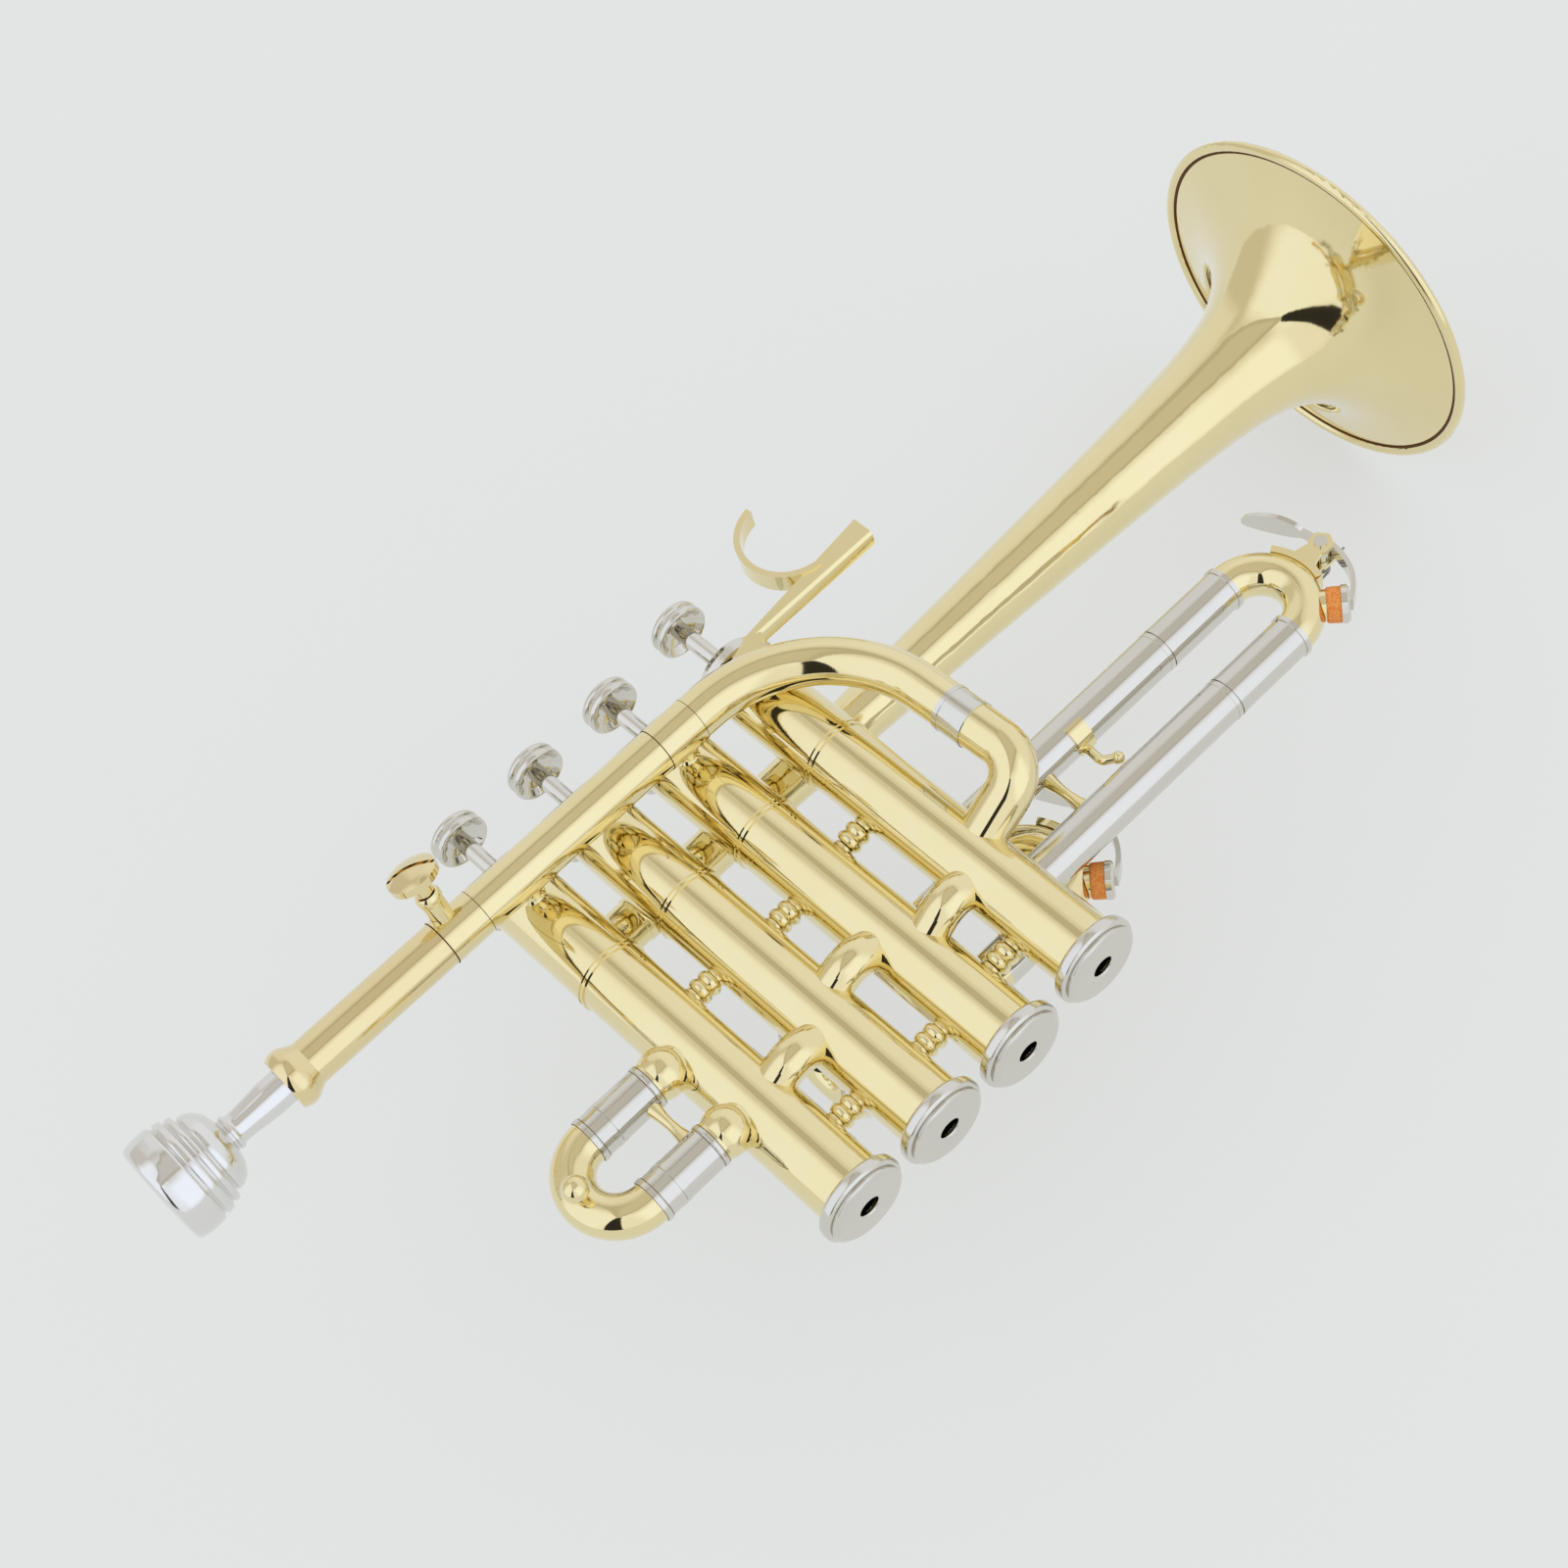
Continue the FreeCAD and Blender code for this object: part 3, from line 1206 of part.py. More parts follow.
def paddle_outline(index):
    """The paddle's outline seen along X: a narrow neck that opens into an oval spoon."""
    top = KEY_PADDLE_LINE[-1][1]
    half_long = (top - SPOON_FROM_Y) / 2
    middle = key_point(index, 0, top - half_long)
    ring = Part.Ellipse(middle + Y_AXIS * half_long, middle + Z_AXIS * (PADDLE_WIDTH / 2), middle)
    spoon = Part.Face(Part.Wire(ring.toShape())).extrude(X_AXIS * (2 * PIVOT_X))
    corner = key_point(index, 0, PIVOT_Y, -PADDLE_NECK / 2)
    neck = Part.makeBox(2 * PIVOT_X, top - half_long, PADDLE_NECK, corner)
    return spoon.fuse(neck)


def key_cork(index):
    """The cork pad in the key's cup, seated on the nipple."""
    start = KEY_NIPPLE_REACH + CORK_GAP
    return rod(key_polar(index, start, KEY_NIPPLE_DEG), key_polar(index, start + CORK_THICK, KEY_NIPPLE_DEG),
               CORK_R)


def key_spring(index):
    """The wire spring round the screw: a coil with one leg toward the paddle and one along the bow."""
    pivot = key_point(index, PIVOT_X, PIVOT_Y)
    side = LEVER_WIDTH / 2 + EAR_GAP + EAR_THICK + 2 * KEY_SPRING_WIRE
    base = pivot - Z_AXIS * (side + spring_length())
    edges = helix_arcs(base, Z_AXIS, Y_AXIS * -1, KEY_SPRING_R, spring_length(), KEY_SPRING_TURNS)
    first = edges[0]
    last = edges[-1]
    start = first.valueAt(first.FirstParameter)
    start_direction = first.tangentAt(first.FirstParameter)
    end = last.valueAt(last.LastParameter)
    end_direction = last.tangentAt(last.LastParameter)
    foot = start - start_direction * KEY_SPRING_CATCH
    leg = Part.LineSegment(foot, start).toShape()
    tip = end + end_direction * KEY_SPRING_LEG
    catch = Part.LineSegment(end, tip).toShape()
    return wire_tube([leg] + edges + [catch], foot, start_direction, KEY_SPRING_WIRE)


def finger_hook():
    """The hook for the right little finger: a tapered bar on the crook, and a curled strip."""
    sections = [hook_section(x, width) for x, width in zip(HOOK_BAR_X, HOOK_BAR_WIDTHS)]
    bar = Part.makeLoft(sections, True, True)
    low = HOOK_Z - HOOK_STRIP_WIDTH / 2
    centre = point(HOOK_CENTRE[0], HOOK_CENTRE[1], low)
    curl_arcs = []
    for radius, turns in ((HOOK_RADIUS + HOOK_STRIP_THICK / 2, (HOOK_FROM_DEG, HOOK_TO_DEG)),
                          (HOOK_RADIUS - HOOK_STRIP_THICK / 2, (HOOK_TO_DEG, HOOK_FROM_DEG))):
        spots = []
        for turn in (turns[0], (turns[0] + turns[1]) / 2, turns[1]):
            angle = math.radians(turn)
            spots.append(centre + point(math.cos(angle), math.sin(angle), 0) * radius)
        curl_arcs.append(Part.Arc(spots[0], spots[1], spots[2]).toShape())
    ends = [arc.valueAt(arc.LastParameter) for arc in curl_arcs]
    starts = [arc.valueAt(arc.FirstParameter) for arc in curl_arcs]
    far_side = Part.LineSegment(ends[0], starts[1]).toShape()
    near_side = Part.LineSegment(ends[1], starts[0]).toShape()
    outline = Part.Wire([curl_arcs[0], far_side, curl_arcs[1], near_side])
    curl = Part.Face(outline).extrude(Z_AXIS * HOOK_STRIP_WIDTH)
    foot_low = HOOK_Z - HOOK_BAR_HEIGHT / 2
    corners = [point(x, y, foot_low) for x, y in HOOK_FOOT_LINE]
    foot = Part.Face(Part.makePolygon(corners + corners[:1])).extrude(Z_AXIS * HOOK_BAR_HEIGHT)
    foot = max(foot.cut(crook_bar()).Solids, key=lambda solid: solid.CenterOfMass.y)
    return fuse_all([bar, curl, foot])


def hook_section(x, width):
    """The bar's outline across its length, with its upper near edge taken off."""
    low = HOOK_Z - HOOK_BAR_HEIGHT / 2
    high = HOOK_Z + HOOK_BAR_HEIGHT / 2
    near = HOOK_BAR_Y
    far = HOOK_BAR_Y + width
    corners = [
        point(x, near, low),
        point(x, near, high - HOOK_BAR_EDGE),
        point(x, near + HOOK_BAR_EDGE, high),
        point(x, far, high),
        point(x, far, low),
    ]
    return Part.makePolygon(corners + corners[:1])


def crook_bar():
    """The crook without its bore, to trim what is soldered to it."""
    return bent_rod(crook_line(), [CROOK_RADIUS], PIPE_R)


def slide_rest():
    """The saddle and small curved rest on the fourth slide's upper sleeve."""
    axis = point(REST_X, leg_heights(SLIDE_4_Y)[1], SLIDE_4_Z)
    turn = math.radians(REST_FROM_DEG)
    out = point(0, -math.sin(turn), math.cos(turn))
    low = axis + out * SLIDE_R
    high = axis + out * (SLIDE_R + REST_THICK)
    along = X_AXIS * REST_WIDTH
    section = Part.Face(Part.makePolygon([low, high, high + along, low + along, low]))
    saddle = section.revolve(axis, X_AXIS, REST_SPAN_DEG)
    middle = axis + along / 2
    spots = [middle + point(x, y, z) for x, y, z in REST_ARM]
    arm = bent_rod(spots, [REST_BEND], REST_ARM_R)
    rest = fuse_all([saddle, arm, Part.makeSphere(REST_BALL_R, spots[-1])])
    reach = X_AXIS * (SLIDE_R + CUT_OVERRUN)
    return rest.cut(rod(axis - reach, axis + along + reach, SLIDE_R))


def mouthpiece():
    """Turned mouthpiece: broad rim, stepped bands, cup, throat and shank."""
    outline = [
        (CUP_MOUTH_R, RIM_CHAMFER),
        ((CUP_MOUTH_R + RIM_R) / 2, 0),
        (RIM_R - RIM_CHAMFER, 0),
        (RIM_R, RIM_CHAMFER),
        (RIM_R, RIM_LENGTH),
        (CUP_STEP_R, RIM_LENGTH),
        (CUP_STEP_R, CUP_STEP_END),
        (CUP_BAND_R, CUP_STEP_END),
        (CUP_BAND_R, CUP_BAND_END),
        ((CUP_BULGE_R, (CUP_BAND_END + CUP_END) / 2), (CUP_FOOT_R, CUP_END)),
        (THROAT_R, THROAT_END),
        (SHANK_MOUTH_R, SHANK_START),
        (SHANK_END_R, SHANK_END),
        (BACKBORE_R, SHANK_END),
        (CUP_BOTTOM_R, BORE_START),
        (CUP_BOTTOM_R, CUP_DEPTH),
        ((CUP_WAIST_R, CUP_WAIST_DEPTH), (CUP_MOUTH_R, RIM_CHAMFER)),
    ]
    return turned(outline, point(RIM_FACE_X, LEADPIPE_Y, LEADPIPE_Z), X_AXIS)


def horn_pieces():
    """Every sub-part's name and shape, in the layout's own place."""
    pieces = {
        "mouthpiece": mouthpiece(),
        "receiver_ring": receiver_ring(),
        "leadpipe": leadpipe(),
        "clamp_collar": clamp_collar(),
        "clamp_screw": clamp_screw(),
        "leadpipe_body": leadpipe_body(),
        "pipe_ferrules": pipe_ferrules(),
        "crook": crook(),
        "crook_ferrule": crook_ferrule(),
        "crook_elbow": crook_elbow(),
        "bell": bell(),
        "bell_bow": bell_bow(),
        "pipe_braces": pipe_braces(),
        "slide_elbows": slide_elbows(),
        "slide_sleeves": slide_sleeves(),
        "slide_4_rest": slide_rest(),
        "finger_hook": finger_hook(),
    }
    valves = range(VALVE_COUNT)
    gaps = range(VALVE_COUNT - 1)
    pieces["valve_bottom_caps"] = Part.makeCompound([bottom_cap(index) for index in valves])
    pieces["valve_top_caps"] = Part.makeCompound([top_cap(index) for index in valves])
    pieces["valve_guides"] = Part.makeCompound([valve_guide(index) for index in valves])
    pieces["knuckles"] = Part.makeCompound([knuckle(gap) for gap in gaps])
    posts = [valve_post(gap, POST_Y_UPPER[gap]) for gap in gaps]
    posts += [valve_post(gap, POST_Y_LOWER[gap]) for gap in gaps]
    pieces["valve_posts"] = Part.makeCompound(posts)
    for index in valves:
        valve = f"valve_{index + 1}"
        pieces[f"{valve}_casing"] = valve_casing(index)
        pieces[f"{valve}_piston"] = piston(index)
        pieces[f"{valve}_stem"] = stem(index)
        pieces[f"{valve}_button"] = finger_button(index)
        pieces[f"{valve}_spring"] = valve_spring(index)
        pieces[f"slide_{index + 1}_legs"] = slide_legs(index)
    pieces["slide_1_bow"] = first_slide_bow()
    pieces["slide_2_bow"] = slide_bow(DOWNWARD_SLIDE)
    for index in KEYED_SLIDES:
        slide = index + 1
        pieces[f"slide_{slide}_bow"] = keyed_bow(index)
        pieces[f"key_{slide}_saddle"] = key_saddle(index)
        pieces[f"key_{slide}_screw"] = key_screw(index)
        pieces[f"key_{slide}_lever"] = key_lever(index)
        pieces[f"key_{slide}_cork"] = key_cork(index)
        pieces[f"key_{slide}_spring"] = key_spring(index)
    return pieces


def base_middle():
    """The middle of the base of the whole horn's box."""
    low_x = RIM_FACE_X
    high_x = BELL_END_X
    high_y = BELL_Y + BELL_RIM_R
    low_z = BELL_Z - BELL_RIM_R
    return point((low_x + high_x) / 2, high_y / 2, low_z)


def main():
    os.makedirs("parts", exist_ok=True)
    shift = base_middle() * -1
    for name, shape in horn_pieces().items():
        shape.translate(shift)
        shape.exportStep(f"parts/{name}.step")
        solids = shape.Solids
        print(name, len(solids), round(shape.Volume, 1), shape.isValid())
    print("origin shift", shift)


main()
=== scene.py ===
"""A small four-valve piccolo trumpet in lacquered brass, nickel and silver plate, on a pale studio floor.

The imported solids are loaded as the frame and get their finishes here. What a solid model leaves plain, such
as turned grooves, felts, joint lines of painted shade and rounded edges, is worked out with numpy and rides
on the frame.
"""
import json
import logging
import math
from dataclasses import dataclass
from enum import Enum

import bmesh
import bpy
import numpy as np
from mathutils import Matrix


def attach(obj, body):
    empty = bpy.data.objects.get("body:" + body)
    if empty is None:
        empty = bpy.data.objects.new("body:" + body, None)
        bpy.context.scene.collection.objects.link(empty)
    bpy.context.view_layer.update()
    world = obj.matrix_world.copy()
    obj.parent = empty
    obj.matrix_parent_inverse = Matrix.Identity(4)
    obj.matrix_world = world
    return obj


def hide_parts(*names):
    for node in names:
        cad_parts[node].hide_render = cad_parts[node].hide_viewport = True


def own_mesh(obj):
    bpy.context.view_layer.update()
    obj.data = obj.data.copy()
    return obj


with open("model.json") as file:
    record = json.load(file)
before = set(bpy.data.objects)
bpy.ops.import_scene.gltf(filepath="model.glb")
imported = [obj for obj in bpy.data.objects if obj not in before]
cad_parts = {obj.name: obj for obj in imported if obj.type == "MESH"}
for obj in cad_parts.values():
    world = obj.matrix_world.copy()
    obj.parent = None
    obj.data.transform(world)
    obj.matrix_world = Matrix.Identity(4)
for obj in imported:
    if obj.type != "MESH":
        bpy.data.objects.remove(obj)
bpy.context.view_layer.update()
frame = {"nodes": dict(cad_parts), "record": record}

LOG = logging.getLogger("piccolo")
MM = 0.001
# The layout's own origin, on the first valve's axis at its bottom cap, seen from the frame's origin.
LAYOUT_ORIGIN = np.array([-75.3, -75.3, 66.5])
# The leadpipe's axis in the layout: how far it lies toward the buttons, and its height.
LEAD_Y = 109.2
LEAD_Z = 19.5
# A turned outline that starts nearer to its axis than this, in millimetres, starts at a pole.
POLE_LIMIT = 0.01
# The radius of a pole's small ring, and the distance at which two points are one, in metres.
POLE_RADIUS = 2e-6
SAME_POINT = 1e-6

Array = np.ndarray
Socket = bpy.types.NodeSocket
Outline = tuple[tuple[float, float], ...]


class Axis(Enum):
    """The three directions of the frame."""

    X = 0
    Y = 1
    Z = 2

    def vector(self) -> Array:
        """The unit vector of this direction."""
        return np.eye(3)[self.value]


def layout(x: float, y: float, z: float) -> Array:
    """A point of the layout, in millimetres, as a point of the frame in metres.

    Args:
        x: distance toward the bell.
        y: distance toward the finger buttons.
        z: height above the first valve's axis.

    Returns:
        The point in the frame.
    """
    return (np.array([x, y, z]) + LAYOUT_ORIGIN) * MM


def linear(hex_colour: str) -> tuple[float, float, float, float]:
    """Turns an sRGB hex value into a linear colour with full alpha.

    Args:
        hex_colour: six hex digits after a hash.

    Returns:
        Linear red, green, blue and alpha.
    """
    srgb = np.array([int(hex_colour[i:i + 2], 16) for i in (1, 3, 5)]) / 255
    flat = np.where(srgb <= 0.04045, srgb / 12.92, ((srgb + 0.055) / 1.055) ** 2.4)
    return (float(flat[0]), float(flat[1]), float(flat[2]), 1.0)


def add_node(tree: bpy.types.NodeTree, kind: str, settings: dict[str, object] | None = None,
             inputs: dict[int | str, object] | None = None) -> bpy.types.Node:
    """Adds one node, sets its properties and its inputs, and links what is a socket.

    Args:
        tree: the node tree.
        kind: the node's type name.
        settings: property names and values.
        inputs: socket names or numbers, with a value or another node's output.

    Returns:
        The new node.
    """
    node = tree.nodes.new(kind)
    for name, value in (settings or {}).items():
        setattr(node, name, value)
    for name, value in (inputs or {}).items():
        if isinstance(value, Socket):
            tree.links.new(value, node.inputs[name])
        else:
            node.inputs[name].default_value = value
    return node


@dataclass(frozen=True)
class Finish:
    """What every finish shares: its name, and two tones that a pattern spreads over the surface."""

    name: str
    tone: str
    deep_tone: str

    def start(self) -> tuple[bpy.types.Material, bpy.types.Node, Socket]:
        """Makes the material with its surface still plain.

        Returns:
            The material, its surface, and the object's own coordinates.
        """
        material = bpy.data.materials.new(self.name)
        material.use_nodes = True
        place = add_node(material.node_tree, "ShaderNodeTexCoord").outputs["Object"]
        return material, material.node_tree.nodes["Principled BSDF"], place

    def pattern(self, material: bpy.types.Material, share: Socket, height: Socket, strength: float,
                depth_mm: float) -> None:
        """Spreads the two tones by one pattern and raises the surface by another.

        Args:
            material: the material that was started.
            share: how much of the deeper tone shows, from 0 to 1.
            height: the relief's pattern.
            strength: the share of the relief that the light feels.
            depth_mm: the relief's depth.
        """
        tree = material.node_tree
        shader = tree.nodes["Principled BSDF"]
        tone = add_node(tree, "ShaderNodeMix", {"data_type": "RGBA"}, {
            "Factor": share, 6: linear(self.tone), 7: linear(self.deep_tone)})
        tree.links.new(tone.outputs[2], shader.inputs["Base Color"])
        relief = add_node(tree, "ShaderNodeBump", inputs={
            "Height": height, "Strength": strength, "Distance": depth_mm * MM})
        tree.links.new(relief.outputs["Normal"], shader.inputs["Normal"])


@dataclass(frozen=True)
class PlatedMetal(Finish):
    """A polished metal: buffed by a wheel, then lacquered or plated.

    The buffing leaves faint streaks a few tenths of a millimetre wide, drawn up to a millimetre wide so
    that they show, and slow changes of tone and gloss a few centimetres long, which break up the
    reflections a little.
    """

    roughness: float
    roughness_spread: float = 0.05
    streak_mm: float = 0.9
    streak_depth_mm: float = 0.2
    cloud_mm: float = 22.0
    bump: float = 0.02
    coat: float = 0.0
    coat_roughness: float = 0.06

    def build(self) -> bpy.types.Material:
        """Makes the material from object coordinates.

        Returns:
            The finished material.
        """
        material, shader, place = self.start()
        tree = material.node_tree
        shader.inputs["Metallic"].default_value = 1.0
        cloud = add_node(tree, "ShaderNodeTexNoise", inputs={
            "Vector": place, "Scale": 1.0 / (self.cloud_mm * MM), "Detail": 3.0,
            "Roughness": 0.55}).outputs["Fac"]
        streak = add_node(tree, "ShaderNodeTexNoise", inputs={
            "Vector": place, "Scale": 1.0 / (self.streak_mm * MM), "Detail": 2.0}).outputs["Fac"]
        self.pattern(material, cloud, streak, self.bump, self.streak_depth_mm)
        gloss = add_node(tree, "ShaderNodeMapRange", inputs={
            "Value": cloud, "From Min": 0.3, "From Max": 0.7,
            "To Min": self.roughness - self.roughness_spread / 2,
            "To Max": self.roughness + self.roughness_spread / 2})
        tree.links.new(gloss.outputs["Result"], shader.inputs["Roughness"])
        if self.coat > 0:
            shader.inputs["Coat Weight"].default_value = self.coat
            shader.inputs["Coat Roughness"].default_value = self.coat_roughness
        return material


@dataclass(frozen=True)
class PressedCork(Finish):
    """Dyed cork, cut from a sheet: pale and dark grains about half a millimetre wide, dry and rough."""

    name: str = "dyed_cork_cut_from_sheet"
    tone: str = "#FFAE5C"
    deep_tone: str = "#F08A38"
    grain_mm: float = 0.55

    def build(self) -> bpy.types.Material:
        """Makes the material from object coordinates.

        Returns:
            The finished material.
        """
        material, shader, place = self.start()
        tree = material.node_tree
        grain = add_node(tree, "ShaderNodeTexVoronoi", inputs={
            "Vector": place, "Scale": 1.0 / (self.grain_mm * MM)}).outputs["Distance"]
        fade = add_node(tree, "ShaderNodeMapRange", inputs={
            "Value": grain, "From Min": 0.25, "From Max": 0.75}).outputs["Result"]
        self.pattern(material, fade, grain, 0.5, 0.2)
        shader.inputs["Roughness"].default_value = 0.85
        return material


@dataclass(frozen=True)
class WoolFelt(Finish):
    """Pressed wool felt: matt, with fibres a quarter of a millimetre apart."""

    name: str = "pressed_wool_felt"
    tone: str = "#D9D4C8"
    deep_tone: str = "#A59E90"
    fibre_mm: float = 0.25

    def build(self) -> bpy.types.Material:
        """Makes the material from object coordinates.

        Returns:
            The finished material.
        """
        material, shader, place = self.start()
        fibres = add_node(material.node_tree, "ShaderNodeTexNoise", inputs={
            "Vector": place, "Scale": 1.0 / (self.fibre_mm * MM), "Detail": 4.0,
            "Distortion": 1.5}).outputs["Fac"]
        self.pattern(material, fibres, fibres, 0.6, 0.3)
        shader.inputs["Roughness"].default_value = 0.95
        return material


class Finishes:
    """Every finish of the instrument, built once and handed to the pieces."""

    def __init__(self) -> None:
        """Builds the materials."""
        # Yellow brass, buffed and lacquered: a pale yellow mirror under a second, clear and sharp one.
        self.gold = PlatedMetal("polished_brass_under_clear_lacquer", "#F3E5B3", "#EDDDA5", 0.06,
                                coat=1.0).build()
        # Brass with more copper in it, lacquered as the rest: the same mirror, a shade duller and redder.
        self.rose = PlatedMetal("polished_rose_brass_under_lacquer", "#F0E0AE", "#EAD6A0", 0.07,
                                coat=1.0).build()
        # Nickel plate, buffed: a slightly warm grey mirror with soft edges to its reflections.
        self.nickel = PlatedMetal("buffed_nickel_plate", "#E3E0D8", "#DAD7CE", 0.08).build()
        # Silver plate, polished: the whitest and sharpest mirror of the horn.
        self.silver = PlatedMetal("polished_silver_plate", "#ECEBE9", "#E4E3E0", 0.06).build()
        # Spring steel, drawn and left bare: a darker grey with blurred lights.
        self.wire = PlatedMetal("drawn_spring_steel", "#B4AFA6", "#8F8A82", 0.25, streak_mm=0.3).build()
        # Monel, lapped to its casing: satin grey, without a sharp light anywhere.
        self.monel = PlatedMetal("lapped_monel", "#B9B4A9", "#A39E93", 0.22, streak_mm=0.4).build()
        # Painted shade: a dull dark brown line that stands in each joint and under the bell's rolled rim,
        # where a shadow falls, without a sharp light.
        self.seam = PlatedMetal("painted_joint_shade", "#7D5426", "#54340F", 0.5,
                                streak_mm=0.3).build()
        self.cork = PressedCork().build()
        self.felt = WoolFelt().build()

    def by_slot(self) -> dict[str, bpy.types.Material]:
        """Pairs the record's material slots with the finishes.

        Returns:
            The finish of each slot.
        """
        return {
            "gold_lacquered_brass": self.gold,
            "rose_brass": self.rose,
            "nickel_plate": self.nickel,
            "silver_plate": self.silver,
            "cork": self.cork,
            "spring_wire": self.wire,
            "piston_monel": self.monel,
        }


def link_piece(name: str, mesh: bpy.types.Mesh) -> bpy.types.Object:
    """Shades a mesh smooth and puts it into the scene.

    Args:
        name: the object's name.
        mesh: its finished mesh.

    Returns:
        The new object.
    """
    mesh.polygons.foreach_set("use_smooth", np.ones(len(mesh.polygons), dtype=bool))
    mesh.update()
    piece = bpy.data.objects.new(name, mesh)
    bpy.context.scene.collection.objects.link(piece)
    return piece


def grid_piece(name: str, points: Array, wrap_rows: bool = False,
               wrap_columns: bool = True) -> bpy.types.Object:
    """Makes a smooth mesh from a grid of points, one face to each cell.

    Args:
        name: the object's name.
        points: rows by columns by three coordinates, in metres.
        wrap_rows: joins the last row to the first.
        wrap_columns: joins the last column to the first.

    Returns:
        The new object, linked to the scene.
    """
    rows, columns = points.shape[:2]
    row = np.arange(rows if wrap_rows else rows - 1)[:, None]
    column = np.arange(columns if wrap_columns else columns - 1)[None, :]
    next_row = (row + 1) % rows
    next_column = (column + 1) % columns
    faces = np.stack([row * columns + column, row * columns + next_column,
                      next_row * columns + next_column, next_row * columns + column], axis=-1)
    mesh = bpy.data.meshes.new(name)
    mesh.from_pydata(points.reshape(-1, 3), [], faces.reshape(-1, 4))
    return link_piece(name, mesh)


def turned_points(profile: Array, base: Array, axis: Array, segments: int) -> Array:
    """Carries a profile round an axis.

    Point (i, j) is the base, plus the axis times the profile's i-th height, plus its i-th radius along the
    direction at angle 2 pi j / segments.

    Args:
        profile: rows of (radius, height) in metres.
        base: the point at height zero.
        axis: the unit axis.
        segments: the number of columns.

    Returns:
        Rows by segments by three coordinates.
    """
    side = np.cross(axis, Axis.X.vector() if abs(axis[0]) < abs(axis[2]) else Axis.Z.vector())
    side = side / np.linalg.norm(side)
    other = np.cross(axis, side)
    angle = np.linspace(0, 2 * np.pi, segments, endpoint=False)
    ring = np.cos(angle)[:, None] * side + np.sin(angle)[:, None] * other
    return base + profile[:, 1][:, None, None] * axis + profile[:, 0][:, None, None] * ring[None, :, :]


def finish_piece(piece: bpy.types.Object, material: bpy.types.Material, body: str) -> bpy.types.Object:
    """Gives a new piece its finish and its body.

    Args:
        piece: the new object.
        material: its finish.
        body: the body it moves with.

    Returns:
        The same object.
    """
    piece.data.materials.append(material)
    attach(piece, body)
    return piece


def softened(outline: Array, radius: float, steps: int = 5, share: float = 0.45) -> Array:
    """Rounds the corners of an outline, as a lathe hand breaks every edge.

    Each corner becomes a quadratic curve: with u from 0 to 1 its point is (1-u)^2 times the start, plus
    2u(1-u) times the corner, plus u^2 times the end. Start and end lie on the two sides at the radius from
    the corner, or at a share of a side that is shorter than that allows.

    Args:
        outline: rows of (radius, height); the first and last rows stay.
        radius: distance from a corner at which its rounding starts.
        steps: points on each rounded corner.
        share: the most of a side that one corner may take.

    Returns:
        The rounded rows.
    """
    corner = outline[1:-1]
    before = outline[:-2] - corner
    after = outline[2:] - corner
    long_before = np.linalg.norm(before, axis=1, keepdims=True)
    long_after = np.linalg.norm(after, axis=1, keepdims=True)
    start = corner + before * np.minimum(radius / long_before, share)
    end = corner + after * np.minimum(radius / long_after, share)
    u = np.linspace(0, 1, steps)[None, :, None]
    curve = (1 - u) ** 2 * start[:, None] + 2 * u * (1 - u) * corner[:, None] + u ** 2 * end[:, None]
    return np.concatenate([outline[:1], curve.reshape(-1, 2), outline[-1:]])


def turned_piece(name: str, outline: Outline, base: Array, axis: Array, radius: float = 0.3,
                 segments: int = 96) -> bpy.types.Object:
    """A solid of revolution whose outline runs from pole to pole, or closes on itself as a ring.

    Args:
        name: the object's name.
        outline: (radius, height) in millimetres, its inside to the left as it runs.
        base: the point at height zero, in metres.
        axis: the unit axis.
        radius: how far its corners are rounded.
        segments: steps round the axis.

    Returns:
        The new object.
    """
    rows = np.array(outline)
    closed = rows[0, 0] > POLE_LIMIT
    if closed:
        rows = np.concatenate([rows, rows[:1]])
    profile = softened(rows, radius) * MM
    profile[:, 0] = np.maximum(profile[:, 0], POLE_RADIUS)
    if closed:
        profile = profile[:-1]
    return grid_piece(name, turned_points(profile, base, axis, segments), wrap_rows=closed)


